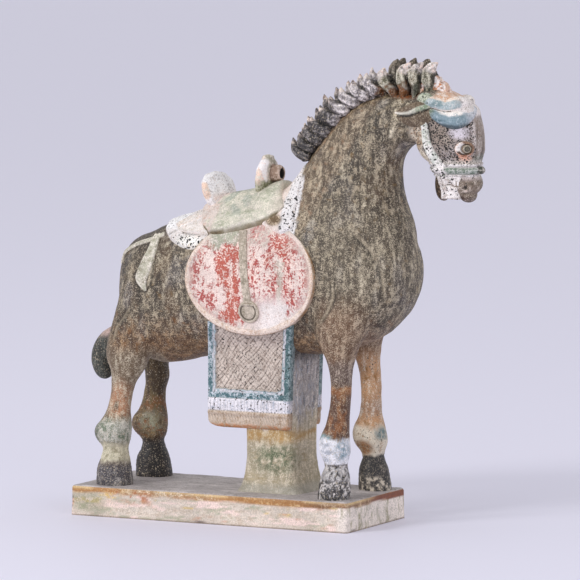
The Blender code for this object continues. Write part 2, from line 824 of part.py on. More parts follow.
def horn(name, rows, across, sides=10, count=10, power=2.0):
    """A closed lock of hair from rows of x, y, z, half width and half height, flat along `across`."""
    path = run_through(rows, count)
    rings = []
    for k, (x, y, z, half_width, half_height) in enumerate(path):
        before, after = path[max(k - 1, 0)], path[min(k + 1, count - 1)]
        run = Vector(after[:3] - before[:3]).normalized()
        side = (across - run * across.dot(run)).normalized()
        up = run.cross(side).normalized()
        rings.append(
            ring(place(x, y, z), side * (half_width * UNIT), up * (half_height * UNIT), power, sides=sides)
        )
    return loft(name, rings)


def forelock(side):
    """The parted forelock: two crescents a side, which sag from the poll and rise to the face."""
    upper = [(158, 14, 301, 3, 3), (164, 15.5, 300, 4, 4.2), (171, 15.8, 298.6, 4.6, 4.4)]
    upper += [(179, 15.2, 296.6, 4.8, 4.6), (186.5, 13.6, 298.2, 5.0, 5.4)]
    upper += [(190, 9.4, 298.2, 4.6, 5.2), (191.5, 3, 298.4, 3.8, 4.6)]
    lower = [(163, 15.5, 294.6, 2.4, 2.2), (170.5, 17, 290.6, 4.2, 3.8), (179, 18, 287.0, 5.0, 5.4)]
    lower += [(186.5, 16.6, 286.2, 5.2, 6.8), (191.5, 12.8, 288.2, 5.0, 6.8)]
    lower += [(194.2, 7, 291.4, 4.0, 6), (195.2, 2, 294, 3, 4.4)]
    pieces = []
    for name, rows in (("upper_forelock", upper), ("lower_forelock", lower)):
        rows = [(*turned(x, side * y, z), a, b) for x, y, z, a, b in rows]
        pieces.append(horn(name, rows, Vector((0, 1, 0)), 7, 8))
    return pieces


def ear(side):
    """An ear laid back along the neck."""
    rows = [(171, 14.2, 292.4, 2.8, 7), (164, 16.3, 290.7, 4.6, 9.4), (156, 17.7, 289.4, 4.6, 8.8)]
    rows += [(149, 17.8, 289, 3.2, 6), (139.5, 16.6, 288.6, 1.0, 1.6)]
    return horn("ear", [(x, side * y, z, a, b) for x, y, z, a, b in rows], Vector((0, 1, 0)), 8, 6)


def forelock_stub():
    """What is left of the broken tuft between the mane and the brow."""
    rows = [(158, 0, 306, 7, 8), (166, 0, 308, 7, 11.5), (171.5, 0.5, 306.5, 6.5, 8.5)]
    rows += [(177, 1.5, 302.5, 6.5, 5.2), (183, 3, 299, 7, 4.6), (192, 4.5, 296, 8, 5)]
    return horn("forelock_stub", rows, Vector((0, 1, 0)), 10, 7, 2.4)


# Each lock of the mane: its foot on the crest and the tips of its near and of its far point
MANE = [
    ((65.4, 253.1), (50.0, 269.2), (51.5, 273.0)),
    ((70.5, 260.1), (55.1, 272.8), (53.8, 276.6)),
    ((76.4, 265.9), (60.2, 280.8), (58.7, 285.1)),
    ((83.2, 273.7), (65.3, 285.4), (65.5, 291.6)),
    ((90.7, 282.4), (72.9, 294.0), (72.2, 301.9)),
    ((99.1, 290.1), (81.3, 301.0), (82.4, 308.0)),
    ((106.8, 295.9), (90.5, 308.1), (92.5, 313.0)),
    ((115.4, 300.9), (100.6, 313.8), (102.5, 318.0)),
    ((124.6, 304.6), (112.3, 319.4), (112.8, 322.9)),
    ((134.4, 307.1), (127.2, 323.6), (134.3, 329.8)),
    ((144.4, 309.0), (149.0, 327.8), (140.1, 331.4)),
    ((154.6, 310.0), (159.6, 328.2), (149.3, 331.4)),
    ((165.2, 310.4), (171.3, 328.6), (160.5, 330.6)),
]


def lock(k, side):
    """The near or far half of a tuft of the mane, which sweeps back to a point that turns up."""
    foot = np.array(MANE[k][0])
    tip = np.array(MANE[k][1 if side < 0 else 2])
    last, nxt = max(k - 1, 0), min(k + 1, len(MANE) - 1)
    crest = np.array(MANE[nxt][0]) - np.array(MANE[last][0])
    pitch = np.linalg.norm(crest) / (nxt - last)
    crest /= np.linalg.norm(crest)
    rows = []
    # Share of the way to the tip, how far it bows, width, how far out
    steps = [(-0.3, 0.0, 0.8, 4.6), (0.28, 0.6, 1.06, 5.0), (0.72, 0.95, 0.86, 4.6), (1.0, 0.0, 0.16, 4.0)]
    for share, bow, width, out in steps:
        x, z = foot + (tip - foot) * share - crest * 3.8 * bow
        rows.append((x, side * out, z, width * 5.6, width * (pitch / 2 + 0.2)))
    return horn("lock", rows, Vector((0, 1, 0)), 6, 5)


def mane():
    """Plump locks side by side along the crest, each in two halves."""
    return [lock(k, side) for k in range(len(MANE)) for side in (-1, 1)]


def united(name, base, pieces):
    """The pieces joined to the base one after another, as one solid."""
    for piece in pieces:
        union = base.modifiers.new("Join", "BOOLEAN")
        union.operation = "UNION"
        union.object = piece
        union.solver = "EXACT"
        apply_modifiers(base)
        bpy.data.objects.remove(piece)
    base.name = name
    return base


def painted_pottery():
    """Dull dark glaze and worn paint over fired clay."""
    material = bpy.data.materials.new("painted_pottery")
    material.use_nodes = True
    shader = material.node_tree.nodes["Principled BSDF"]
    shader.inputs["Base Color"].default_value = POTTERY_COLOUR
    shader.inputs["Roughness"].default_value = POTTERY_ROUGHNESS
    shader.inputs["Metallic"].default_value = 0.0
    return material


def main():
    for old in list(bpy.data.objects):
        bpy.data.objects.remove(old)
    pieces = [
        trunk(),
        neck(),
        head(),
        hind_leg("near_hind", NEAR_HIND_Y),
        hind_leg("far_hind", FAR_HIND_Y, shift=-5.0, lean=8.0, slim=7.0, pastern=8.0),
        fore_leg("near_fore", NEAR_FORE_Y),
        fore_leg("far_fore", FAR_FORE_Y, shift=-9.9, lean=12.9, knuckle=1.1),
        tail(),
        *muzzle(),
    ]
    figure = fused("figure", pieces, FIGURE_VOXEL, 8, FIGURE_TRIANGLES)
    skin = skin_of(figure)
    trimmings = [slab(), pillar(), rug_block(), blanket(skin), skirt(skin), *saddle_bows()]
    trimmings += [teeth(), *noseband(), forelock_stub(), *mane()]
    for side in (-1, 1):
        trimmings += rug_relief(side)
        trimmings += [flap(side), *stirrup(side), *crupper(skin, side)]
        trimmings += [*head_trappings(skin, side), *forelock(side), ear(side)]
    horse = united("pottery_horse", figure, trimmings)
    horse.data.name = horse.name
    horse.data.materials.clear()
    horse.data.materials.append(painted_pottery())


main()
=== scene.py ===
"""The looks of a saddled pottery horse: worn paint and glaze over fired clay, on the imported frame.

The forms are the part's own, made finer, with their modelled and incised detail. X points where the horse
looks, Y to its left and Z up. The figure's proportions are in units of which 332 make its height from the
slab to the mane's tips, so at this size a unit is one millimetre.
"""

import math

import bmesh
import bpy
import numpy as np
from mathutils import Matrix, Vector
from mathutils.bvhtree import BVHTree


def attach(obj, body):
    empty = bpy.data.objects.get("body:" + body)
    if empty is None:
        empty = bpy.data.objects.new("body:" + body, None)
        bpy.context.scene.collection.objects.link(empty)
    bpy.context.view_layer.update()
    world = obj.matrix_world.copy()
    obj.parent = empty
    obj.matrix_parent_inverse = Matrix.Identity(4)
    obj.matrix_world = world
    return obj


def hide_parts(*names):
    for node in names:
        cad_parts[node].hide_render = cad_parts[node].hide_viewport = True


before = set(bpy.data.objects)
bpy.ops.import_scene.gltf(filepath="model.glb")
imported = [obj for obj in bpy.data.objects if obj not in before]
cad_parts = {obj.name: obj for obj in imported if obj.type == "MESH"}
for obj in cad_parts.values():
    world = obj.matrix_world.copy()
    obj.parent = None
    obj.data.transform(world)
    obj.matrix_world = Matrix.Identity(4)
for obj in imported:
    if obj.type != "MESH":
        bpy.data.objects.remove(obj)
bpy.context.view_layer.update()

NODE = "pottery_horse"

# Driving dimensions, in metres
FIGURE_HEIGHT = 0.332
SLAB_THICKNESS = 0.0237
SLAB_REAR_MARGIN = 0.0127
SLAB_FRONT_MARGIN = 0.0048
SLAB_SIDE_MARGIN = 0.0050
SLAB_CORNER = 0.0026
SLAB_EDGE = 0.0028
RELIEF = 0.0014

# The figure's unit and stance. Its other proportions stand with the form that they shape
UNIT = FIGURE_HEIGHT / 332
NEAR_FORE_Y = -33.0
NEAR_HIND_Y = -29.0
FAR_FORE_Y = 31.0
FAR_HIND_Y = 30.0
HEAD_TURN = 10.0
POLL_X = 155.0
HEAD_SQUARENESS = 3.0
BODY_AXIS = 150.0
FLAP_X = 33.5
FLAP_Z = 164.0
FLAP_ROOT = 22.0
STIRRUP_X = 33.2
STIRRUP_Z = 139.0
STRAP_RAKE = 8.5
STRAP_TOP = 200.0
LEG_TOP = 110.0

# A way in metres that leads out of the figure from anywhere inside it
OUTSIDE = 0.3

# The pillar and the rug that is carved on both sides of its upper part
PILLAR_X = 38.5
PILLAR_LENGTH = 0.0400
PILLAR_WIDTH = 0.0500
PILLAR_ROUNDING = 0.0080
PILLAR_FLARE = 0.0065
RUG_X = 25.3
RUG_LENGTH = 0.0720
RUG_WIDTH = 0.0540
RUG_HEM_HEIGHT = 0.0480
RUG_BORDER = 0.0075
RUG_FRINGE = 0.0130
RUG_TAPER = 0.0034
RUG_BEADING = 0.0095
RUG_ROUNDING = 0.0060
RUG_TOP = 130.0

# The round flaps and the stirrups on them
FLAP_LENGTH = 0.1090
FLAP_DROP = 0.0870
FLAP_RIM = 0.0034
STIRRUP_STRAP_WIDTH = 0.0062
STIRRUP_RADIUS = 0.0086

# How finely the surfaces are cut
FIGURE_VOXEL = 0.0010
FIGURE_SOFTENING = 36
FIGURE_TRIANGLES = 190000
MANE_VOXEL = 0.0007
MANE_SOFTENING = 2

# Station and half length of the hooves, from which the slab takes its length and width
HIND_HOOF = (-91.0, 14.4)
FORE_HOOF = (101.8, 12.4)
slab_rear = (HIND_HOOF[0] - HIND_HOOF[1]) * UNIT - SLAB_REAR_MARGIN
slab_front = (FORE_HOOF[0] + FORE_HOOF[1]) * UNIT + SLAB_FRONT_MARGIN
slab_half_width = (FORE_HOOF[1] - NEAR_FORE_Y) * UNIT + SLAB_SIDE_MARGIN
slab_middle = (slab_rear + slab_front) / 2

# Colours as they show, red, green and blue out of 255
DARK_GLAZE = (70, 60, 49)
BROWN_GLAZE = (104, 76, 52)
CREAM = (186, 172, 150)
PALE_SLIP = (226, 214, 200)
TAN_SLIP = (206, 190, 176)
GREY_SLIP = (150, 142, 138)
BISQUE = (226, 178, 146)
PINK_BISQUE = (232, 200, 186)
RED_PAINT = (186, 96, 80)
TEAL = (84, 122, 128)
PALE_TEAL = (150, 176, 182)
GREEN_GLAZE = (122, 134, 106)
PALE_GREEN = (196, 198, 178)
# Near black, for dark specks and painted lines, and for painted shade in holes and grooves
SOOT_AND_SHADE = (30, 27, 25)
CLEAN_WHITE = (238, 234, 232)
WARM_WHITE = (246, 238, 232)
# Dark brown of the painted shadow line at the slab's foot, and of its dusty underside
SHADOW_AND_DUST_BROWN = (120, 106, 92)
LINE_BROWN = (90, 70, 56)


def place(x, y, z):
    """A point of the figure, in its units above the slab, as a point of the part."""
    return Vector((x * UNIT - slab_middle, y * UNIT, SLAB_THICKNESS + z * UNIT))


def direction(x, y, z):
    """A step of the figure, in its units, as a step of the part."""
    return Vector((x, y, z)) * UNIT


def figure_units(points):
    """Points of the part as points of the figure, in its units above the slab."""
    return (np.asarray(points) + (slab_middle, 0.0, -SLAB_THICKNESS)) / UNIT


# Mesh helpers
def run_through(rows, count, keys=3):
    """The rows as `count` rows along a smooth curve through them, spaced by their first `keys` numbers."""
    rows = np.array(rows, dtype=float)
    gaps = np.linalg.norm(np.diff(rows[:, :keys], axis=0), axis=1)
    along = np.concatenate([[0.0], np.cumsum(gaps)])
    slopes = np.gradient(rows, along, axis=0)
    at = np.linspace(0.0, along[-1], count)
    i = np.clip(np.searchsorted(along, at, side="right") - 1, 0, len(along) - 2)
    span = (along[i + 1] - along[i])[:, None]
    t = (at - along[i])[:, None] / span
    start = (2 * t**3 - 3 * t**2 + 1) * rows[i] + (t**3 - 2 * t**2 + t) * span * slopes[i]
    end = (3 * t**2 - 2 * t**3) * rows[i + 1] + (t**3 - t**2) * span * slopes[i + 1]
    return start + end


def full_turn(count):
    """So many angles, evenly spaced round a full turn."""
    return [2 * math.pi * k / count for k in range(count)]


def smooth_object(name, bm):
    """A new smooth object that takes the faces of a bmesh."""
    mesh = bpy.data.meshes.new(name)
    bm.to_mesh(mesh)
    bm.free()
    mesh.shade_smooth()
    obj = bpy.data.objects.new(name, mesh)
    bpy.context.scene.collection.objects.link(obj)
    return obj


def mesh_object(name, build):
    """A new object whose mesh is what `build` puts into a bmesh, with its faces turned outwards."""
    bm = bmesh.new()
    build(bm)
    bmesh.ops.recalc_face_normals(bm, faces=bm.faces)
    return smooth_object(name, bm)


def loft(name, rings):
    """A solid through rings of points, each ring with as many points as the next."""

    def build(bm):
        loops = [[bm.verts.new(point) for point in ring] for ring in rings]
        for lower, upper in zip(loops, loops[1:]):
            for k in range(len(lower)):
                nxt = (k + 1) % len(lower)
                bm.faces.new((lower[k], lower[nxt], upper[nxt], upper[k]))
        for loop in (loops[0][::-1], loops[-1]):
            middle = bm.verts.new(sum((v.co for v in loop), Vector()) / len(loop))
            for a, b in zip(loop, loop[1:] + loop[:1]):
                bm.faces.new((a, b, middle))

    return mesh_object(name, build)


def ring(centre, across, along, power=2.0, egg=0.0, sides=72):
    """Points round a centre: half-axes across and along, squarer as power grows, wider at +along by egg."""
    points = []
    for angle in full_turn(sides):
        c, s = math.cos(angle), math.sin(angle)
        c = math.copysign(abs(c) ** (2 / power), c)
        s = math.copysign(abs(s) ** (2 / power), s)
        points.append(centre + along * c + across * (s * (1 + egg * c)))
    return points


def level_ring(x, y, z, half_x, half_y, power=2.0, egg=0.0, sides=72):
    """A level ring round a point of the figure, from its half length and half width in figure units."""
    return ring(place(x, y, z), direction(0, half_y, 0), direction(half_x, 0, 0), power, egg, sides)


def joined(name, pieces):
    """The pieces as one object, with no surface of theirs changed."""
    bm = bmesh.new()
    for piece in pieces:
        bm.from_mesh(piece.data)
        bpy.data.objects.remove(piece)
    return smooth_object(name, bm)


def apply_modifiers(obj):
    graph = bpy.context.evaluated_depsgraph_get()
    mesh = bpy.data.meshes.new_from_object(obj.evaluated_get(graph))
    obj.modifiers.clear()
    obj.data = mesh


def melted(obj, voxel, rounds):
    """The object as one skin, with its creases softened."""
    remesh = obj.modifiers.new("Melt", "REMESH")
    remesh.mode = "VOXEL"
    remesh.voxel_size = voxel
    soften = obj.modifiers.new("Soften", "SMOOTH")
    soften.factor = 0.5
    soften.iterations = rounds
    apply_modifiers(obj)
    obj.data.shade_smooth()
    return obj


def thinned(obj, triangles):
    now = sum(len(face.vertices) - 2 for face in obj.data.polygons)
    if now > triangles:
        thin = obj.modifiers.new("Thin", "DECIMATE")
        thin.ratio = triangles / now
        apply_modifiers(obj)
        obj.data.shade_smooth()
    return obj


def read_vectors(items, field):
    """A vector of each item of a mesh, as rows of three numbers."""
    values = np.empty(len(items) * 3, np.float32)
    items.foreach_get(field, values)
    return values.reshape(-1, 3).astype(float)


def vertices(obj):
    return read_vectors(obj.data.vertices, "co")


def vertex_normals(obj):
    return read_vectors(obj.data.vertex_normals, "vector")


def measured(obj):
    """An object's vertices in figure units, as points and as their three coordinates."""
    at = figure_units(vertices(obj))
    return at, *at.T


def push(obj, amounts):
    """Moves each vertex out along its normal by so many units of the figure."""
    moved = vertices(obj) + vertex_normals(obj) * (np.asarray(amounts) * UNIT)[:, None]
    obj.data.vertices.foreach_set("co", moved.astype(np.float32).ravel())
    obj.data.update()


def hollows(obj, rounds=2):
    """How hollow the surface is at each vertex, one over the radius in figure units, negative on a bulge."""
    points, normals = vertices(obj) / UNIT, vertex_normals(obj)
    ends = np.empty(len(obj.data.edges) * 2, np.int32)
    obj.data.edges.foreach_get("vertices", ends)
    a, b = ends.reshape(-1, 2).T
    step = points[b] - points[a]
    square = np.maximum((step * step).sum(axis=1), 1e-6)
    count = len(points)
    sums = np.bincount(a, 2 * (normals[a] * step).sum(axis=1) / square, count)
    sums += np.bincount(b, -2 * (normals[b] * step).sum(axis=1) / square, count)
    near = np.maximum(np.bincount(a, minlength=count) + np.bincount(b, minlength=count), 1)
    value = sums / near
    for _ in range(rounds):
        value = (value + np.bincount(a, value[b], count) + np.bincount(b, value[a], count)) / (near + 1)
    return value


# Fields over points in figure units
def waves(at, size, seed, stretch=(1, 1, 1), count=30):
    """A smooth random field from about -1 to 1, with lumps of that size, drawn out by `stretch`."""
    rng = np.random.default_rng(seed)
    way = rng.normal(size=(count, 3))
    way /= np.linalg.norm(way, axis=1, keepdims=True)
    pace = 2 * math.pi / size * rng.uniform(0.6, 1.5, count)
    phase = rng.uniform(0, 2 * math.pi, count)
    return np.cos((at / np.array(stretch)) @ way.T * pace + phase).sum(axis=1) / math.sqrt(2 * count)


def roughen(obj, *lumps):
    """Leaves the clay a little uneven, by waves of so much size, seed and height."""
    at = figure_units(vertices(obj))
    push(obj, sum(waves(at, size, seed) * height for size, seed, height in lumps))


def ragged(at, size, seed, stretch=(1, 1, 1)):
    """Waves of three sizes, for torn edges and blotches."""
    large = waves(at, size, seed, stretch)
    middle = waves(at, size / 2.4, seed + 1, stretch)
    small = waves(at, size / 5.5, seed + 2, stretch)
    return large * 0.55 + middle * 0.4 + small * 0.3


def rise(value, low, high):
    """0 below low, 1 above high and a smooth step between them."""
    t = np.clip((value - low) / (high - low), 0.0, 1.0)
    return t * t * (3 - 2 * t)


def fall(value, low, high):
    """1 below low, 0 above high and a smooth step between them."""
    return 1 - rise(value, low, high)


def within(value, low, high, soft):
    """1 between low and high, with both ends softened."""
    return rise(value, low - soft, low + soft) * fall(value, high - soft, high + soft)


def bell(distance, width):
    """1 at no distance, and soon 0 beyond a width."""
    return np.exp(-((distance / width) ** 2))


def clouds(at, size, seed, low, high, stretch=(1, 1, 1)):
    """Soft-edged clouds of that size: 0 where the waves are below low and 1 where they are above high."""
    return rise(waves(at, size, seed, stretch), low, high)


def blotches(at, size, seed, low, high, stretch=(1, 1, 1)):
    """Blotches of that size with torn edges, between the same limits."""
    return rise(ragged(at, size, seed, stretch), low, high)


def spot(at, centre, half_axes, soft=0.35):
    """1 inside an ellipsoid and 0 well outside it."""
    far = np.linalg.norm((at - np.array(centre)) / np.array(half_axes), axis=1)
    return fall(far, 1 - soft, 1 + soft)


def spots(at, centre, half_axes, soft=0.35):
    """A spot of the far side and its mirror image."""
    x, y, z = centre
    return spot(at, (x, -y, z), half_axes, soft) + spot(at, centre, half_axes, soft)


def line_distance(at, path):
    """How far each point is from a chain of points."""
    path = np.array(path, dtype=float)
    nearest = np.full(len(at), np.inf)
    for a, b in zip(path, path[1:]):
        step = b - a
        t = np.clip((at - a) @ step / (step @ step), 0, 1)
        nearest = np.minimum(nearest, np.linalg.norm(at - a - t[:, None] * step, axis=1))
    return nearest


def groove(at, path, width, depth):
    """An incised line: how far each point is pushed in by it."""
    smooth_path = run_through(path, 6 * len(path))
    return -depth * bell(line_distance(at, smooth_path), width)


def incised(at, path, width, depth):
    """A line on the near side and its mirror image on the far side."""
    return groove(at, path, width, depth) + groove(at * (1, -1, 1), path, width, depth)


def line_marks(at, path, width, count=40):
    """1 on a line of the near side and on its mirror image, and soon 0 beyond a width."""
    smooth_path = run_through(path, count)
    mirrored = line_distance(at * (1, -1, 1), smooth_path)
    return bell(np.minimum(line_distance(at, smooth_path), mirrored), width)


# What covers a surface
def linear(colour):
    value = np.array(colour, dtype=float) / 255
    return np.where(value <= 0.04045, value / 12.92, ((value + 0.055) / 1.055) ** 2.4)


class Coat:
    """At each point: the paint, what shows where it is gone, how much is gone, dark specks and gloss."""

    def __init__(self, at, paint, under, loss=0.3, specks=0.0, gloss=0.3):
        self.at = at
        count = len(at)
        self.paint = np.tile(linear(paint), (count, 1))
        self.under = np.tile(linear(under), (count, 1))
        self.loss = np.full(count, float(loss))
        self.specks = np.full(count, float(specks))
        self.gloss = np.full(count, float(gloss))

    def over(self, share, paint=None, under=None, loss=None, specks=None, gloss=None):
        """Lays another coat over this one, by its share at each point."""
        share = np.clip(share, 0, 1)
        for own, colour in ((self.paint, paint), (self.under, under)):
            if colour is not None:
                own += (linear(colour) - own) * share[:, None]
        for own, value in ((self.loss, loss), (self.specks, specks), (self.gloss, gloss)):
            if value is not None:
                own += (value - own) * share

    def shade(self, factor):
        """Darkens or lightens paint and what is under it."""
        self.paint *= np.asarray(factor)[:, None]
        self.under *= np.asarray(factor)[:, None]

    def wear_dirt_and_shade(self, obj, dirt_and_shade, rub=0.16):
        """Dirt and painted shade darken the hollows, and the paint goes first from what stands proud."""
        hollow = hollows(obj)
        # Dirt and painted shade: the hollower the surface, the darker
        self.shade(1 - dirt_and_shade * rise(hollow, 0.04, 0.42))
        self.loss += rub * rise(-hollow, 0.06, 0.45)
        self.loss -= rub * 0.5 * rise(hollow, 0.04, 0.42)

    def lay_on(self, obj):
        ones = np.ones((len(self.at), 1))
        state = np.stack([self.loss, self.specks, self.gloss], axis=1)
        for name, values in (("paint", self.paint), ("under", self.under), ("state", state)):
            attribute = obj.data.attributes.new(name, "FLOAT_COLOR", "POINT")
            rgba = np.concatenate([np.clip(values, 0, 1), ones], axis=1)
            attribute.data.foreach_set("color", rgba.astype(np.float32).ravel())


def node(tree, kind, inputs=None, **settings):
    made = tree.nodes.new(kind)
    for name, value in settings.items():
        setattr(made, name, value)
    for name, value in (inputs or {}).items():
        if isinstance(value, bpy.types.NodeSocket):
            tree.links.new(value, made.inputs[name])
        else:
            made.inputs[name].default_value = value
    return made


def pottery(
    name, grain, flake, run, run_axis=2, relief=0.35, softness=0.16, shares=(0.46, 0.32, 0.22), flecks=0.0
):
    """Worn paint over clay, gone in specks, flakes and runs of these sizes in metres, by these shares."""
    material = bpy.data.materials.new(name)
    material.use_nodes = True
    tree = material.node_tree
    shader = tree.nodes["Principled BSDF"]
    coords = node(tree, "ShaderNodeTexCoord").outputs["Object"]
    paint, under, state = (
        node(tree, "ShaderNodeAttribute", attribute_name=layer).outputs["Color"]
        for layer in ("paint", "under", "state")
    )
    parts = node(tree, "ShaderNodeSeparateColor", {"Color": state})
    loss, specks, gloss = parts.outputs[0], parts.outputs[1], parts.outputs[2]

    def noise(size, detail, roughness, vector=coords):
        inputs = {"Vector": vector, "Scale": 1 / size, "Detail": detail, "Roughness": roughness}
        return node(tree, "ShaderNodeTexNoise", inputs).outputs["Fac"]

    def maths(operation, a, b=0.0, clamp=False):
        return node(tree, "ShaderNodeMath", {0: a, 1: b}, operation=operation, use_clamp=clamp).outputs[0]

    def spread(value, low, high, to_low=0.0, to_high=1.0):
        inputs = {"Value": value, "From Min": low, "From Max": high, "To Min": to_low, "To Max": to_high}
        return node(tree, "ShaderNodeMapRange", inputs).outputs[0]

    def mixed(share, a, b, blend="MIX"):
        made = node(tree, "ShaderNodeMix", data_type="RGBA", blend_type=blend)
        for socket, value in zip((made.inputs[0], made.inputs[6], made.inputs[7]), (share, a, b)):
            if isinstance(value, bpy.types.NodeSocket):
                tree.links.new(value, socket)
            else:
                socket.default_value = value
        return made.outputs[2]

    squeeze = [1.0, 1.0, 1.0]
    squeeze[run_axis] = 0.2
    drawn = node(tree, "ShaderNodeMapping", {"Vector": coords, "Scale": squeeze}).outputs[0]
    fine = noise(grain, 6.0, 0.72)
    broad = noise(flake, 5.0, 0.68)
    runs = noise(run, 4.0, 0.62, drawn)
    total = maths("ADD", maths("MULTIPLY", fine, shares[0]), maths("MULTIPLY", broad, shares[1]))
    total = maths("ADD", total, maths("MULTIPLY", runs, shares[2]))
    level = spread(total, 0.38, 0.62)
    edge = maths("SUBTRACT", maths("ADD", level, loss), 1.0)
    gone = spread(edge, -softness, softness)
    tone = spread(noise(grain * 0.7, 4.0, 0.75), 0.3, 0.7, 0.66, 1.34)
    cloud = spread(noise(flake * 4, 3.0, 0.6), 0.3, 0.7, 0.86, 1.14)
    colour = mixed(gone, paint, under)
    grey = node(tree, "ShaderNodeCombineColor", {0: maths("MULTIPLY", tone, cloud)})
    for k in (1, 2):
        tree.links.new(grey.inputs[0].links[0].from_socket, grey.inputs[k])
    colour = mixed(1.0, colour, grey.outputs[0], "MULTIPLY")
    light = maths("MULTIPLY", spread(noise(grain * 1.5, 3.0, 0.6), 0.59, 0.63), flecks)
    colour = mixed(light, colour, (*linear(CREAM), 1.0))
    dots = noise(grain * 1.5, 2.0, 0.5)
    dotted = spread(maths("ADD", dots, maths("MULTIPLY", specks, 0.16)), 0.66, 0.70)
    dotted = maths("MULTIPLY", dotted, maths("GREATER_THAN", specks, 0.02))
    colour = mixed(dotted, colour, (*linear(SOOT_AND_SHADE), 1.0))
    tree.links.new(colour, shader.inputs["Base Color"])
    shine = maths("MULTIPLY", gloss, maths("SUBTRACT", 1.0, maths("MULTIPLY", gone, 0.6)))
    tree.links.new(spread(shine, 0.0, 1.0, 0.82, 0.22), shader.inputs["Roughness"])
    shader.inputs["Specular IOR Level"].default_value = 0.4
    height = maths("ADD", maths("MULTIPLY", gone, -0.6), maths("MULTIPLY", fine, 0.7))
    bump = node(tree, "ShaderNodeBump", {"Height": height, "Strength": relief, "Distance": 0.0005})
    tree.links.new(bump.outputs[0], shader.inputs["Normal"])
    return material


def finish(obj, coat_of, material, *details, dirt_and_shade=0.45):
    """Dresses a piece in what `coat_of` makes for it, and lets it stand for the part on the frame."""
    coat = coat_of(obj, *details)
    # Dirt and painted shade in the piece's hollows, and wear on what stands proud
    coat.wear_dirt_and_shade(obj, dirt_and_shade)
    coat.lay_on(obj)
    obj.data.materials.clear()
    obj.data.materials.append(material)
    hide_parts(NODE)
    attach(obj, "root")


# The figure's forms
def trunk():
    # Station along the body, the height of its top and of its bottom, half width
    stations = [
        (-96.5, 161, 145, 6),
        (-95, 168.5, 136.5, 12),
        (-90, 181.5, 119.5, 22.5),
        (-82, 188.5, 106.5, 31),
        (-72, 193, 96, 37),
        (-60, 198, 92.5, 40),
        (-45, 203, 94, 41),
        (-15, 212, 101, 42),
        (20, 220, 104, 43),
        (55, 229, 104.5, 42.5),
        (85, 228, 106, 42),
        (110, 219.5, 113.5, 40.5),
        (130, 210.5, 125.5, 36),
        (143, 199.5, 140.5, 28),
        (149, 188.5, 154.5, 17),
        (150.8, 179, 165, 7),
    ]
    rings = []
    for x, top, bottom, half_width in run_through(stations, 90, keys=1):
        middle = place(x, 0, (top + bottom) / 2)
        down = direction(0, 0, (bottom - top) / 2)
        rings.append(ring(middle, direction(0, half_width, 0), down, 2.2, 0.06))
    return loft("trunk", rings)


def neck():
    # Station and height of the crest and of the throat, half thickness
    stations = [
        (28, 205, 132, 136, 34),
        (43, 226, 149, 170, 36),
        (55, 240, 148, 199, 32),
        (64, 254, 141, 222, 27),
        (75, 268, 138, 240, 24),
        (88, 283, 139, 254, 22),
        (103, 294.5, 145, 263, 21),
        (122, 302.5, 154, 268, 20),
        (140, 305, 166, 272, 18),
        (154, 303, 178, 278, 15),
    ]
    rings = []
    for crest_x, crest_z, throat_x, throat_z, half_y in run_through(stations, 80, keys=2):
        crest, throat = place(crest_x, 0, crest_z), place(throat_x, 0, throat_z)
        across = direction(0, half_y, 0)
        rings.append(ring((crest + throat) / 2, across, (throat - crest) / 2, 2.1, 0.22))
    return loft("neck", rings)


def head_turn():
    """The head looks a little to its left: a turn about the upright through the poll."""
    pivot = place(POLL_X, 0, 0)
    turn = Matrix.Rotation(math.radians(HEAD_TURN), 4, "Z")
    return Matrix.Translation(pivot) @ turn @ Matrix.Translation(-pivot)


def head_ring(z, back, front, half_width, egg, swell=0.0, sides=96):
    """A level ring round the head, `swell` outside its skin."""
    turn = head_turn()
    half_x, half_y = (front - back) / 2 + swell, half_width + swell
    level = level_ring((back + front) / 2, 0, z, half_x, half_y, HEAD_SQUARENESS, egg, sides)
    return [turn @ point for point in level]


# Height, back of the head, front of the face, half width, how much wider the face is than the jowl
HEAD_ROWS = [
    (308.5, 159, 174, 9, 0.0),
    (304, 154, 184, 15, 0.0),
    (296, 151, 198, 18, -0.05),
    (286, 150.5, 201.4, 19, -0.08),
    (272, 154, 203.9, 18.5, -0.12),
    (262, 158.5, 203.9, 17.5, -0.12),
    (255, 163, 202, 16.0, -0.10),
    (248, 167, 200.5, 14.5, -0.05),
    (240, 169, 199, 13.0, 0.0),
    (233, 171.5, 195, 11.5, 0.0),
    (229, 174, 191, 8.5, 0.0),
]


def head_row(z):
    """The head's measures at a height."""
    rows = run_through(HEAD_ROWS, 400, keys=1)
    return min(rows, key=lambda row: abs(row[0] - z))[1:]


def head():
    return loft("head", [head_ring(*row) for row in run_through(HEAD_ROWS, 70, keys=1)])


def egg_shape(name, centre, half_axes):
    """An ellipsoid on the head, from its place and half-axes before the head is turned."""
    turn = head_turn()
    scale = Matrix.Diagonal((*direction(*half_axes), 1))

    def build(bm):
        matrix = turn @ Matrix.Translation(place(*centre)) @ scale
        bmesh.ops.create_uvsphere(bm, u_segments=40, v_segments=24, radius=1, matrix=matrix)

    return mesh_object(name, build)


def muzzle():
    """The nose, the upper lip that hangs from it, the chin and the jowls."""
    return [
        egg_shape("nose", (193.5, 0, 238.5), (10, 12, 9.5)),
        egg_shape("upper_lip", (192.5, 0, 228.5), (6.5, 8, 5)),
        egg_shape("chin", (173.5, 0, 237), (7, 10, 13)),
        egg_shape("near_jowl", (169.5, -11, 271), (15, 9, 18)),
        egg_shape("far_jowl", (169.5, 11, 271), (15, 9, 18)),
    ]


def leg(name, stations, y, shift, lean):
    """A leg from its rows. All of it stands shift further forward, and its foot lean more than its top."""
    rings = []
    side = math.copysign(1.0, y)
    for x, z, half_x, half_y, out_y in run_through(stations, 130, keys=2):
        reach = shift + lean * max(0.0, 1 - z / LEG_TOP)
        rings.append(level_ring(x + reach, y + side * out_y, z, half_x, half_y, 2.15))
    return loft(name, rings)


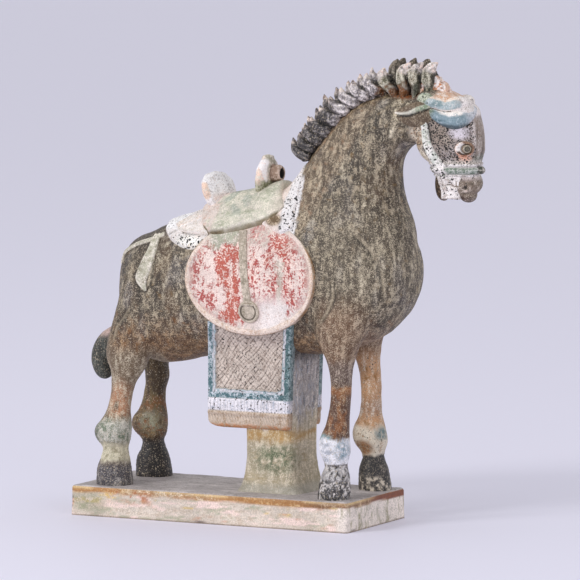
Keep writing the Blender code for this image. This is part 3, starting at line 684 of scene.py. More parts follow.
def hind_leg(name, y, shift=0.0, lean=0.0, slim=0.0, pastern=9.4):
    """Slim takes that much off the front of the thigh where it leaves the belly."""
    # Station, height, half length, half width, shift outwards
    stations = [
        (-60, 172, 18, 9, -4),
        (-61, 160, 22.5, 14, -4),
        (-64, 140, 24, 16, -4),
        (-71, 120, 23, 16, -3),
        (-77, 106, 20, 15, -1.5),
        (-79.5 - slim / 2, 96, 16.6 - slim / 2, 13.5, -0.5),
        (-79.5 - slim / 2, 88, 12.8 - slim / 2, 12, 0),
        (-82.5, 79, 9.7, 9.8, 0),
        (-85, 67, 8.3, 8.6, 0),
        (-87.2, 57, 9.4, 9.2, 0),
        (-89.2, 50, 11.6, 10.8, 0),
        (-91.6, 44.5, 14.0, 12.6, 0),
        (-92.2, 38.5, 14.4, 13.2, 0),
        (-91.4, 33, 12.8, 12.2, 0),
        (-90.0, 28, pastern, 9.6, 0),
        (-90.2, 22, pastern + 1, 10.6, 0),
        (-91.0, 14, 12.5, 12.4, 0),
        (-91.0, 5, 14.0, 13.6, 0),
        (-91.0, -3, 14.4, 14.0, 0),
    ]
    return leg(name, stations, y, shift, lean)


def fore_leg(name, y, shift=0.0, lean=0.0, knuckle=1.0):
    """Knuckle is how thick the fetlock is beside that of the near foreleg."""
    # Station, height, half length, half width, shift outwards
    stations = [
        (104, 172, 18, 10, -10),
        (104, 160, 25, 15, -9),
        (103, 142, 25, 17, -7),
        (103, 126, 20.5, 16.5, -4),
        (103.5, 114, 14.5, 14, -1.5),
        (104.5, 106, 11.0, 11.4, 0),
        (105.3, 97, 8.8, 9.2, 0),
        (105.5, 84, 7.9, 8.2, 0),
        (104.2, 68, 7.9, 8.2, 0),
        (102.2, 55, 9.4, 9.0, 0),
        (100.4, 47, 11.2 * knuckle, 10.6 * knuckle, 0),
        (99.9, 41.5, 12.0 * knuckle, 11.6 * knuckle, 0),
        (100.4, 35, 11.6 * knuckle, 11.4 * knuckle, 0),
        (101.0, 29, 9.4, 9.6, 0),
        (101.2, 25, 8.2, 8.6, 0),
        (100.4, 18, 10.4, 10.4, 0),
        (100.0, 10, 11.8, 11.8, 0),
        (99.6, 1, 12.6, 12.4, 0),
        (99.6, -3, 12.8, 12.4, 0),
    ]
    return leg(name, stations, y, shift, lean)


def tail():
    """A short bound tail that leaves the rump low and hangs close to it."""
    # Station, height, half length, half width
    stations = [
        (-86, 117, 6, 6),
        (-101, 113.5, 7, 7.5),
        (-112, 106, 8.2, 9),
        (-117.2, 96, 8.8, 9.5),
        (-117, 87, 8.2, 9),
        (-113.5, 79.5, 5.4, 6.5),
        (-112, 77, 2.4, 3),
    ]
    rows = run_through(stations, 40, keys=2)
    rings = []
    for k, (x, z, half_x, half_y) in enumerate(rows):
        nearby = rows[min(k + 1, len(rows) - 1)] - rows[max(k - 1, 0)]
        run = Vector((nearby[0], 0, nearby[1])).normalized()
        side = Vector((0, 1, 0)).cross(run)
        rings.append(ring(place(x, 0, z), direction(0, half_y, 0), side * (half_x * UNIT), sides=48))
    return loft("tail", rings)


def beside(path, step_x, step_z):
    return [(x + step_x, y, z + step_z) for x, y, z in path]


# Lines cut into the clay on the near side. The far side has the same
HAUNCH_LINE = [(-74.4, -40.3, 135.3), (-80.4, -39.9, 127.3), (-85.4, -38.9, 121.6), (-87.5, -39.8, 112.4)]
SHOULDER_LINE = [(104.4, -40.9, 157.5), (103.8, -41.5, 150.8), (100.4, -42.9, 141.7), (94.8, -43.6, 134)]
SECOND_HAUNCH_LINE = beside(HAUNCH_LINE, 4.6, 0.6)
SECOND_SHOULDER_LINE = beside(SHOULDER_LINE, -4.2, -0.6)
CHEST_LINE = [(116.1, -35, 198.8), (126.4, -33.2, 188.6), (135.8, -32.8, 173.9), (137.8, -31, 156.6)]
LEAF_OUTLINE = [
    (-59, -24, 190.9), (-61.2, -29, 180.9), (-65.4, -34.8, 169.7), (-67, -38.4, 160), (-58, -40.6, 149.6),
    (-54.2, -39.6, 154.8), (-52.6, -35.9, 170.2), (-51.2, -30.5, 181.4),
]
ELBOW_LINE = [(80, -42, 150), (79, -42, 138), (83, -42, 126), (90, -41, 116)]


def carve_figure(figure):
    """Cuts the incised lines, the joints' folds, the nostrils, the mouth and the rings of the hooves."""
    at, x, _, z = measured(figure)
    amounts = waves(at, 26, 11) * 0.32 + waves(at, 9, 12) * 0.12
    amounts += incised(at, HAUNCH_LINE, 1.0, 0.75) + incised(at, SECOND_HAUNCH_LINE, 0.9, 0.6)
    amounts += incised(at, SHOULDER_LINE, 1.0, 0.7) + incised(at, SECOND_SHOULDER_LINE, 0.9, 0.55)
    amounts += incised(at, CHEST_LINE, 3.2, 0.9) + incised(at, ELBOW_LINE, 2.0, 0.7)
    amounts += incised(at, LEAF_OUTLINE, 0.9, 0.8)
    legs = z < 100
    hind = legs & (x < -55)
    fore = legs & (x > 70)
    # Height of each fold, the legs that have it, its depth
    fetlock = hind & (x > -104)
    joint_folds = [(31.5, fetlock, 0.28), (33.6, fetlock, 0.28), (35.7, fetlock, 0.28)]
    for height, here, depth in (*joint_folds, (24.5, fore, 0.4), (20.5, hind, 0.35)):
        slanted = z - height - 0.10 * (x - np.where(here & hind, -90, 100))
        amounts -= np.where(here, depth * bell(slanted, 0.7), 0)
    for side in (-1, 1):
        away = np.linalg.norm(at - nostril(side), axis=1)
        amounts -= 1.4 * bell(away, 1.5)
    amounts -= 0.6 * bell(z - 230.6, 0.8) * rise(x, 182, 186)
    for height in (6.0, 9.5, 13.0):
        wander = waves(at, 22, int(height * 10)) * 0.7
        amounts -= np.where(z < 20, 0.22 * bell(z - height - wander, 0.6), 0)
    push(figure, amounts)


def figure():
    """Trunk, neck, head, legs and tail as one skin."""
    pieces = [
        trunk(),
        neck(),
        head(),
        hind_leg("near_hind", NEAR_HIND_Y),
        hind_leg("far_hind", FAR_HIND_Y, shift=-5.0, lean=8.0, slim=7.0, pastern=8.0),
        fore_leg("near_fore", NEAR_FORE_Y),
        fore_leg("far_fore", FAR_FORE_Y, shift=-9.9, lean=12.9, knuckle=1.1),
        tail(),
        *muzzle(),
    ]
    skin = melted(joined("horse", pieces), FIGURE_VOXEL, FIGURE_SOFTENING)
    carve_figure(skin)
    return thinned(skin, FIGURE_TRIANGLES)


# The slab, the pillar and the rug
def rounded_rectangle(centre, half_x, half_y, rounding, step):
    """Points round a rectangle with rounded corners, about `step` apart."""
    corners = []
    for corner, (sx, sy) in enumerate(((1, 1), (-1, 1), (-1, -1), (1, -1))):
        middle = centre + Vector((sx * (half_x - rounding), sy * (half_y - rounding), 0))
        count = max(2, round(rounding * math.pi / 2 / step))
        arc = []
        for k in range(count + 1):
            angle = math.radians(90 * (corner + k / count))
            arc.append(middle + Vector((math.cos(angle), math.sin(angle), 0)) * rounding)
        corners.append(arc)
    points = []
    for k, arc in enumerate(corners):
        nxt = corners[(k + 1) % 4][0]
        points += arc
        side = max(1, round(2 * (half_y if k % 2 else half_x) / step))
        points += [arc[-1].lerp(nxt, i / side) for i in range(1, side)]
    return points


def slab():
    """Uneven by hand, with a soft upper edge."""
    half_x = (slab_front - slab_rear) / 2
    step = 0.0015
    side_steps, edge_steps, top_steps = 15, 8, 29

    def outline(inset, height):
        middle = Vector((0, 0, height))
        spare = min(half_x, slab_half_width) - inset - 0.0002
        rounding = min(max(SLAB_CORNER - inset, 0.0006), spare)
        return rounded_rectangle(middle, half_x - inset, slab_half_width - inset, rounding, step)

    # How far in from the outline and how high, up the side, round the edge and in over the top
    shape = [(0.0, (SLAB_THICKNESS - SLAB_EDGE) * k / side_steps) for k in range(side_steps + 1)]
    for k in range(1, edge_steps + 1):
        angle = math.radians(90 * k / edge_steps)
        drop = SLAB_EDGE * (1 - math.sin(angle))
        shape.append((SLAB_EDGE * (1 - math.cos(angle)), SLAB_THICKNESS - drop))
    for k in range(1, top_steps + 1):
        shape.append((SLAB_EDGE + (slab_half_width - SLAB_EDGE - 0.0004) * k / top_steps, SLAB_THICKNESS))
    count = len(outline(0.0, 0.0))
    rings = []
    for inset, height in shape:
        rings.append(resampled(outline(inset, height), count))
    obj = loft("slab", rings)
    at = figure_units(vertices(obj))
    lift = fall(-at[:, 2], 14, 22)
    push(obj, (waves(at, 60, 21) * 0.30 + waves(at, 14, 22) * 0.14) * lift - 0.5 * lift - 0.01)
    return obj


def resampled(points, count):
    """A closed outline as so many points, evenly spaced along it."""
    closed = np.array([tuple(p) for p in points + points[:1]])
    along = np.concatenate([[0], np.cumsum(np.linalg.norm(np.diff(closed, axis=0), axis=1))])
    at = np.linspace(0, along[-1], count, endpoint=False)
    return [Vector([np.interp(s, along, closed[:, axis]) for axis in range(3)]) for s in at]


def pillar():
    """A rounded block that spreads where it meets the slab and ends inside the belly."""
    # Height, how much of the flare is left
    rows = [(-2, 1.25), (0, 1.0), (4, 0.62), (10, 0.32), (20, 0.1), (34, 0.0), (60, 0.1), (125, 0.3)]
    rings = []
    for z, flare in run_through(rows, 130, keys=1):
        spread = PILLAR_FLARE * flare
        half_x, half_y = PILLAR_LENGTH / 2 + spread, PILLAR_WIDTH / 2 + spread / 2
        outline = rounded_rectangle(place(PILLAR_X, 0, z), half_x, half_y, PILLAR_ROUNDING, 0.001)
        rings.append(resampled(outline, 190))
    obj = loft("pillar", rings)
    roughen(obj, (24, 31, 0.3), (7, 32, 0.1))
    return obj


def rug_height(z):
    """A height above the rug's hem as a height of the part."""
    return SLAB_THICKNESS + RUG_HEM_HEIGHT + z


def rug_ends():
    """The rug's rear and front as stations of the part."""
    return place(RUG_X, 0, 0).x - RUG_LENGTH / 2, place(RUG_X, 0, 0).x + RUG_LENGTH / 2


def rug_front(z):
    """Where the rug's front edge is at a height of the part, as it draws in towards the hem."""
    hem, top = rug_height(0), place(0, 0, RUG_TOP).z
    return rug_ends()[1] - RUG_TAPER * (top - z) / (top - hem)


def rug_block():
    """The pillar's upper part, as long as the rug that is carved on its sides."""
    rear, front = rug_ends()
    depth = RUG_WIDTH / 2 - RELIEF
    # Height above the hem, how far the rear lower edge is drawn in, how far the front is
    rows = [
        (RELIEF, 0.012, RUG_TAPER),
        (0.0035, 0.0055, RUG_TAPER),
        (0.0070, 0.0018, RUG_TAPER * 0.9),
        (0.0120, 0.0006, RUG_TAPER * 0.8),
        (place(0, 0, 132).z - rug_height(0), 0.0006, 0.0),
    ]
    rings = []
    for height, rear_in, front_in in run_through(rows, 80, keys=1):
        low, high = rear + rear_in, front - front_in
        centre = Vector(((low + high) / 2, 0, rug_height(height)))
        outline = rounded_rectangle(centre, (high - low) / 2, depth, RUG_ROUNDING, 0.001)
        rings.append(resampled(outline, 230))
    obj = loft("rug_block", rings)
    roughen(obj, (20, 33, 0.2))
    return obj


# How much further out the rug lies where it comes over the belly: height, step out
RUG_DRAPE = np.array([(106, 0), (110, 0.4), (113, 1.8), (116, 4.0), (120, 7.2), (125, 10.4), (130, 12.8)])
# How far forward it goes for each step out
RUG_LEAN = 0.5
# Lean, pitch and depth of the lines hatched across its field, and their width
HATCHING = [(1.05, 0.0039, 0.00030), (-0.85, 0.0035, 0.00044)]
HATCH_WIDTH = 0.00046
BEAD_PITCH = 0.0029
THREAD_PITCH = 0.0024
THREAD_DEPTH = 0.00016
# Over which widths its outer edge, its border's inner edge and the border's seam are rounded
RIM_SOFTNESS = 0.0009
BORDER_SOFTNESS = 0.0006
SEAM_WIDTH = 0.0005


def draped(z):
    """How much further out the rug lies at a height of the part, in figure units."""
    return np.interp((np.asarray(z) - SLAB_THICKNESS) / UNIT, RUG_DRAPE[:, 0], RUG_DRAPE[:, 1])


def rug_relief(side):
    """One side's rug: a cross-hatched field in raised borders, a beaded band and a fringe."""
    rear = rug_ends()[0]
    hem, top = rug_height(0), place(0, 0, RUG_TOP).z
    fringe_top = hem + RUG_FRINGE
    bead_top = fringe_top + RUG_BEADING
    face = RUG_WIDTH / 2
    deep = face - RUG_ROUNDING
    columns, rows = 150, 160
    corner = 0.012

    def relief(x, z):
        """How proud the rug stands at a point of it."""
        from_side = min(x - rear, rug_front(z) - x)
        rounding = RELIEF * (1 - min(1.0, from_side / RIM_SOFTNESS)) ** 2
        if z > bead_top:
            to_field = min(from_side, z - bead_top)
            if to_field < RUG_BORDER:
                seam = math.exp(-(((to_field - RUG_BORDER * 0.72) / SEAM_WIDTH) ** 2)) * SEAM_WIDTH
                return RELIEF * min(1.0, (RUG_BORDER - to_field) / BORDER_SOFTNESS) - seam - rounding
            hatch = 0.0
            for lean, pitch, depth in HATCHING:
                bent = 0.0011 * math.sin(x * 190 + z * 60 + 3 * lean)
                bent += 0.0009 * math.sin(z * 230 - x * 90 - 2 * lean)
                line = (x + lean * z + bent) / pitch
                phase = line % 1.0 - 0.5
                cut = 0.5 + 0.5 * math.sin(2.4 * math.floor(line) + 150 * z + 60 * x)
                hatch += depth * (0.35 + 0.65 * cut) * math.exp(-((phase * pitch / HATCH_WIDTH) ** 2))
            return -hatch
        if z > fringe_top:
            up = (z - fringe_top) / RUG_BEADING
            bead = abs(math.sin(math.pi * (x - rear) / BEAD_PITCH)) ** 0.7
            return RELIEF * (1.0 + 0.55 * math.sqrt(max(0.0, 1 - (2 * up - 1) ** 2)) * bead) - rounding
        down = (fringe_top - z) / RUG_FRINGE
        thread = math.sin(2 * math.pi * (x + 0.35 * z) / THREAD_PITCH)
        ledge = RELIEF * (0.8 + 0.9 * math.exp(-(((down - 0.12) / 0.12) ** 2)))
        tuck = 0.0022 * max(0.0, (down - 0.75) / 0.25) ** 2
        return ledge + THREAD_DEPTH * thread - tuck - rounding

    def build(bm):
        outer, inner = [], []
        for j in range(rows + 1):
            z = hem + (top - hem) * j / rows
            rise_in = max(0.0, 1 - (z - hem) / (corner * 0.6))
            drawn_in = corner * (1 - math.sqrt(max(0.0, 1 - rise_in**2)))
            low, high = rear + drawn_in, rug_front(z)
            out = draped(z) * UNIT
            outer.append([])
            inner.append([])
            for i in range(columns + 1):
                x = low + (high - low) * i / columns
                ahead = x + RUG_LEAN * out
                outer[-1].append(bm.verts.new((ahead, side * (face + relief(x, z) + out), z)))
                inner[-1].append(bm.verts.new((ahead, side * deep, z)))
        closed_sheet(bm, outer, inner)

    return mesh_object("rug", build)


def closed_sheet(bm, tops, bottoms):
    """Faces over and under two grids of vertices, and round their rim."""
    rows, cols = len(tops), len(tops[0])
    for i in range(rows - 1):
        for j in range(cols - 1):
            bm.faces.new((tops[i][j], tops[i + 1][j], tops[i + 1][j + 1], tops[i][j + 1]))
            bm.faces.new((bottoms[i][j], bottoms[i][j + 1], bottoms[i + 1][j + 1], bottoms[i + 1][j]))
    rim = [(i, 0) for i in range(rows)] + [(rows - 1, j) for j in range(1, cols)]
    rim += [(i, cols - 1) for i in range(rows - 2, -1, -1)] + [(0, j) for j in range(cols - 2, 0, -1)]
    for (i, j), (k, m) in zip(rim, rim[1:] + rim[:1]):
        bm.faces.new((tops[i][j], tops[k][m], bottoms[k][m], bottoms[i][j]))


# What lies on the figure's skin
def skin_of(obj):
    bm = bmesh.new()
    bm.from_mesh(obj.data)
    tree = BVHTree.FromBMesh(bm)
    bm.free()
    return tree


def on_back(skin, x, degrees):
    """Where the skin is hit from outside towards the body's axis, and the way out of it there."""
    angle = math.radians(degrees)
    out = Vector((0, math.sin(angle), math.cos(angle)))
    axis = place(x, 0, BODY_AXIS)
    return skin.ray_cast(axis + out * OUTSIDE, -out)[0], out


def saddle_layer(name, skin, rows, lift, sink, count=110, across=120):
    """A sheet over the back from rows of station, degrees that it hangs down and slant forward."""
    stations = run_through(rows, count, keys=1)

    def build(bm):
        outer, inner = [], []
        for u, (along, hang, skew) in enumerate(stations):
            outer.append([])
            inner.append([])
            for k in range(across):
                v = 2 * k / (across - 1) - 1
                hit, out = on_back(skin, along + skew * abs(v) ** 1.5, hang * v)
                edge = min(u, count - 1 - u, k, across - 1 - k)
                rounded = math.sqrt(1 - (1 - min(1.0, edge / 3)) ** 2)
                height = lift(u / (count - 1), abs(v)) * rounded
                outer[-1].append(bm.verts.new(hit + out * (height * UNIT)))
                inner[-1].append(bm.verts.new(hit - out * sink))
        closed_sheet(bm, outer, inner)

    return mesh_object(name, build)


# Where the folds behind the skirt meet, on the near side
UPPER_CREASE = [(-43.7, -28.3, 194.1), (-35.7, -27.1, 198), (-28, -28.7, 200.7)]
UPPER_CREASE += [(-20.8, -29.3, 203), (-13.6, -30.1, 205.3)]
LOWER_CREASE = [(-30.1, -30.3, 196.1), (-23.5, -32.8, 194.8), (-10.8, -35.4, 195.2), (-1.8, -39.7, 194.5)]


def blanket(skin):
    """The white blanket, with a rear lobe and a front edge that climbs the neck."""
    rows = [(-56, 21, 4.2), (-51.5, 28.5, 4.1), (-47, 34.6, 3.9), (-37, 42.4, 3.3), (-29.5, 45.5, 2.7)]
    rows += [(-23, 47.2, 2.4), (-11, 45, 1.6), (-1, 40.5, 0.6), (12, 36.5, 0), (28, 33, 0), (40, 32.5, 0)]
    rows += [(47, 36, 1), (54, 37.5, 3), (61, 33.5, 6)]

    def lift(u, v):
        return 3.4 if u < 0.3 else 3.4 - 0.9 * (u - 0.3) / 0.7

    obj = saddle_layer("blanket", skin, rows, lift, 0.004)
    at = figure_units(vertices(obj))
    amounts = waves(at, 18, 43) * 0.25 + incised(at, UPPER_CREASE, 0.9, 0.7)
    push(obj, amounts + incised(at, LOWER_CREASE, 0.8, 0.6))
    return obj


# Station, how many degrees down it hangs, how far it slants forward
SKIRT_ROWS = [(-26, 33, 14), (-8, 39.5, 4), (10, 39, 0), (22, 36.5, 1)]
SKIRT_ROWS += [(31, 33.8, 3), (36.5, 30.5, 7.5), (40, 26.5, 12), (42, 21, 14)]


def skirt(skin):
    """The saddle's skirt and seat, highest along the spine, whose hem lies over the round flaps."""

    def lift(u, v):
        seat = 5.5 * max(0.0, 1 - (v / 0.6) ** 2) * min(1.0, 0.3 + 2.5 * u)
        over_flap = 4.4 * min(1.0, max(0.0, (v - 0.45) / 0.45)) * max(0.0, 1 - ((u - 0.46) / 0.52) ** 2)
        hem = 0.4 * math.exp(-(((v - 0.94) / 0.03) ** 2))
        return 4.6 + seat + over_flap + hem

    return saddle_layer("saddle_skirt", skin, SKIRT_ROWS, lift, 0.002)


def on_side(rows, side):
    """Rows that are given for the far side as they are on one side, of which -1 is the near one."""
    return [(x, side * y, *rest) for x, y, *rest in rows]


def folds(skin, side):
    """Behind the skirt the pad ends in a pointed tongue, below a roll of the blanket."""
    tongue = [(-35, 28.2, 197.4), (-28, 29.8, 198.2), (-20, 31.4, 199.4), (-10, 32, 202), (0, 33, 203)]
    roll = [(-38, 24.6, 199.5), (-30, 22.5, 204.2), (-22, 21, 207.5), (-10, 19, 212.5)]
    return [
        strap("tongue", skin, on_side(tongue, side), (0.6, 3.0, 4.8, 7.7, 9), 5.4),
        strap("roll", skin, on_side(roll, side), (1.2, 2.4, 2.6, 2.2), 5.6),
    ]


def paddle(name, x, lean, rows):
    """An upright rounded board across the back, from rows of height, half width and half thickness."""
    rings = []
    for z, half_width, half_thick in run_through(rows, 60, keys=1):
        share = (z - rows[0][0]) / (rows[-1][0] - rows[0][0])
        rings.append(level_ring(x + lean * share, 0, z, half_thick, half_width, 2.4, sides=64))
    return loft(name, rings)


def cantle():
    rows = [(205, 9, 4), (211, 12, 5.4), (217, 18, 6.4), (224, 22.6, 6.6), (230, 23, 6.2), (236, 18, 5)]
    obj = paddle("cantle", -10, -9, [*rows, (239.6, 9, 3), (240.6, 2, 1)])
    roughen(obj, (12, 41, 0.25))
    return obj


BOSS_Z = 241.0


def pommel():
    """A rounded board with a holed boss on its front and a knob on its top."""
    rows = [(212, 9, 4), (224, 14, 4.6), (233, 17, 5), (240, 16.8, 5), (246, 14, 4.8), (249.6, 9.6, 4.4)]
    board = paddle("board", 25.6, 1.4, [*rows, (252.2, 5.4, 4.0), (254.2, 3.6, 3.0), (254.9, 1, 0.8)])
    # Station, radius: out round the boss's rim and back into its hole
    profile = [(28, 5.8), (34.6, 6.4), (37.4, 6.2), (38.8, 5.2), (38.9, 4.2), (37.6, 3.4), (32.4, 2.8)]
    rings = []
    for x, radius in run_through(profile, 30, keys=2):
        rings.append(ring(place(x, 0, BOSS_Z), direction(0, radius, 0), direction(0, 0, radius), sides=40))
    obj = joined("pommel", [board, loft("boss", rings)])
    roughen(obj, (9, 42, 0.2))
    return obj


# How far out the flap's field stands where the flank is widest, and how fast it curves in from there
FLANK_Z = 160
FLANK_OUT = 46.5
CURVE_UP = 0.0062
CURVE_DOWN = 0.0040
CURVE_ALONG = 0.0006


def flap_depth(x, z):
    """How far from the middle the round flap's field stands at a station and a height of the figure."""
    above, below = max(0.0, z - FLANK_Z), max(0.0, FLANK_Z - z)
    return FLANK_OUT - CURVE_UP * above**2 - CURVE_DOWN * below**2 - CURVE_ALONG * (x - FLAP_X) ** 2


def on_flap(x, z, side, lift):
    return place(x, side * (flap_depth(x, z) + lift), z)


def flap(side):
    """A round flap: a raised rim round a field that follows the flank."""
    half_x = FLAP_LENGTH / 2 / UNIT
    half_z = FLAP_DROP / 2 / UNIT
    rim = FLAP_RIM / UNIT
    proud = RELIEF / UNIT

    def outline(inset):
        points = []
        for turn in full_turn(220):
            c, s = math.cos(turn), math.sin(turn)
            drawn = inset * (1 + 0.8 * max(0.0, -s) ** 2 * (inset < rim + 0.01))
            points.append((FLAP_X + (half_x - drawn) * c, FLAP_Z + (half_z - drawn) * s))
        return points

    rings = [[place(x, side * FLAP_ROOT, z) for x, z in outline(0.0)]]
    profile = [(0.0, -1.0), (0.0, 0.0), (0.3, 0.62), (0.9, 0.86), (1.5, 0.84), (rim - 1.0, 0.5), (rim, 0.05)]
    for inset, lift in run_through(profile, 26, keys=2):
        rings.append(
            [on_flap(x, z, side, lift * proud * (1 - 0.8 * rise(z, 176, 194))) for x, z in outline(inset)]
        )
    for k in range(6, 48):
        inset = rim + (half_z - rim) * (k / 48)
        rings.append([on_flap(x, z, side, 0.0) for x, z in outline(inset)])
    obj = loft("flap", rings)
    roughen(obj, (20, 51 + side, 0.22), (6, 53 + side, 0.08))
    return obj


def stirrup(side):
    """The stirrup's strap down the flap, and the round iron at its end."""
    half = STIRRUP_STRAP_WIDTH / 2 / UNIT
    proud = RELIEF / UNIT
    radius = STIRRUP_RADIUS / UNIT
    # Share of the half width, how proud it stands there
    section = [(-1, -2), (-1, 0.6), (-0.86, 1.0), (-0.6, 0.8), (0, 0.85)]
    section += [(0.6, 0.8), (0.86, 1.0), (1, 0.6), (1, -2)]
    rings = []
    steps = 59
    for k in range(steps + 1):
        z = STRAP_TOP + (STIRRUP_Z - STRAP_TOP) * k / steps
        x = STIRRUP_X - STRAP_RAKE * (1 - k / steps) ** 1.3
        rings.append([on_flap(x + half * across, z, side, proud * lift) for across, lift in section])
    band = loft("strap", rings)
    rings = []
    # Share of the iron's radius, how proud it stands there
    profile = [(1.0, -2.0), (1.0, 0.5), (0.95, 1.0), (0.88, 1.2), (0.8, 1.0)]
    profile += [(0.74, 0.35), (0.68, 0.3), (0.62, 0.75), (0.1, 0.85)]
    for share, lift in run_through(profile, 40, keys=2):
        reach = radius * share
        circle = [(reach * math.cos(turn), reach * math.sin(turn)) for turn in full_turn(72)]
        rings.append([on_flap(STIRRUP_X + x, STIRRUP_Z + z, side, proud * lift) for x, z in circle])
    iron = loft("iron", rings)
    bar = []
    for z, lift in ((4.6, 0.4), (4.6, 1.5), (6.4, 1.5), (6.4, 0.4)):
        bar.append((STIRRUP_Z + z, lift))
    rings = []
    for k in range(12):
        x = STIRRUP_X + radius * 0.6 * (2 * k / 11 - 1)
        rings.append([on_flap(x, z, side, proud * lift) for z, lift in bar])
    return joined("stirrup", [band, iron, loft("bar", rings)])


def strap(name, skin, points, half_widths, lift, sink=1.6, vein=0.0):
    """A band laid on the skin through points of the figure, with its half width at each."""
    rows = [(*point, width) for point, width in zip(points, half_widths)]
    path = run_through(rows, 70)
    places, normals = [], []
    for x, y, z, _ in path:
        hit, normal, _, _ = skin.find_nearest(place(x, y, z))
        places.append(hit)
        normals.append(normal)
    section = [(-1, -sink), (-0.94, 0.5 * lift), (-0.78, lift), (-0.4, lift * 0.86)]
    section += [(0, lift * (0.86 - vein)), (0.4, lift * 0.86), (0.78, lift), (0.94, 0.5 * lift), (1, -sink)]
    rings = []
    for k, foot in enumerate(places):
        before, after = max(k - 3, 0), min(k + 3, len(places) - 1)
        run = (places[after] - places[before]).normalized()
        up = sum(normals[before : after + 1], Vector()).normalized()
        side = up.cross(run).normalized()
        half = max(path[k][3], 0.3) * UNIT
        rings.append([foot + side * (half * across) + up * (height * UNIT) for across, height in section])
    return loft(name, rings)


def crupper(skin, side):
    """The strap over the croup and the leaf-shaped ribbon that hangs from it."""
    leaf = [(-57, 20, 192), (-57, 30, 181), (-59.5, 35.5, 170), (-61.5, 38.5, 160), (-57.5, 40, 150.5)]
    croup = [(-50, 21, 192), (-62, 22.5, 188), (-82, 18, 181), (-93, 9, 168)]
    return [
        strap("leaf", skin, on_side(leaf, side), (3.2, 4.6, 5.8, 5.2, 0.8), 1.5, vein=0.35),
        strap("croup", skin, on_side(croup, side), (2.2, 2.2, 2.0, 1.6), 1.2),
    ]


# The head's trappings and hair
def turned(x, y, z):
    """A point of the figure on the head, from its place before the head is turned, in figure units."""
    point = head_turn() @ place(x, y, z)
    return ((point.x + slab_middle) / UNIT, point.y / UNIT, (point.z - SLAB_THICKNESS) / UNIT)


def nostril(side):
    return turned(192.9, side * 11, 235.4)


def noseband():
    """A round band on the muzzle between two thin ones."""
    # Height, how far outside the skin
    profile = [(243.6, -0.6), (243.8, 0.9), (244.8, 1.2), (245.6, 0.7), (246.4, 1.6), (248.4, 2.5)]
    profile += [(250.4, 1.6), (251.2, 0.7), (252.2, 1.2), (253.4, 0.9), (253.6, -0.6)]
    rings = [head_ring(z, *head_row(z), swell, 160) for z, swell in run_through(profile, 60, keys=2)]
    band = loft("band", rings)
    knob = egg_shape("knob", (203.2, -5, 248.4), (3.5, 3.1, 2.9))
    return joined("noseband", [band, knob])


def cheek_strap(skin, side):
    points = [(160, 20, 296), (163, 20, 282), (165.5, 19, 269), (170.5, 17, 258), (175.5, 15, 250)]
    widths = (2.2, 2.8, 3.4, 3.8, 4.0)
    return strap("cheek_strap", skin, [turned(*point) for point in on_side(points, side)], widths, 1.5)


EYE_RINGS = 44
EYE_SIDES = 52


def eye(skin, side):
    """A lid drawn out towards the back, with the ball at the front of it."""
    hit, out, _, _ = skin.find_nearest(place(*turned(195.6, side * 16.3, 264.9)))
    rearwards = out.cross(Vector((0, 0, 1))).normalized()
    if rearwards.x > 0:
        rearwards = -rearwards
    up = rearwards.cross(out)
    # Radius, how proud it stands
    profile = [(6.2, -2.0), (6.0, 0.6), (5.3, 1.9), (4.6, 2.0), (4.1, 1.3)]
    profile += [(3.7, 0.3), (3.3, 1.3), (2.5, 2.3), (1.4, 2.7), (0.3, 2.8)]
    rings = []
    for radius, lift in run_through(profile, EYE_RINGS, keys=2):
        drawn = 1.9 * min(1.0, max(0.0, (radius - 3.5) / 1.2))
        centre = hit + out * (lift * UNIT) + rearwards * (drawn * UNIT)
        long = rearwards * ((radius + drawn * 0.8) * UNIT)
        rings.append(ring(centre, long, up * (radius * 0.94 * UNIT), sides=EYE_SIDES))
    return loft("eye", rings)


LOBE_RINGS = 90
LOBE_SIDES = 56
# The rim of the far ear's hollow, from its root to its tip
EAR_RIM = [(172, 17.5, 295.5), (165, 20.6, 293.0), (156, 22.4, 289.8), (148, 21.4, 289.2), (140, 18, 289.6)]


def loft_places(obj, rings, sides):
    """How far along a loft each of its vertices is, from 0 to 1, and how far round it, up to a full turn."""
    count = len(obj.data.vertices)
    order = np.minimum(np.arange(count), rings * sides - 1)
    return order // sides / (rings - 1), 2 * math.pi * (order % sides) / sides


def horn(name, rows, sides, count, power=2.0):
    """A closed lock of hair from rows of x, y, z, half width and half height, flat across the horse."""
    across = Vector((0, 1, 0))
    path = run_through(rows, count)
    rings = []
    for k, (x, y, z, half_width, half_height) in enumerate(path):
        before, after = path[max(k - 1, 0)], path[min(k + 1, count - 1)]
        run = Vector(after[:3] - before[:3]).normalized()
        side = (across - run * across.dot(run)).normalized()
        up = run.cross(side).normalized()
        wide, high = max(half_width, 0.15) * UNIT, max(half_height, 0.15) * UNIT
        rings.append(ring(place(x, y, z), side * wide, up * high, power, sides=sides))
    return loft(name, rings)


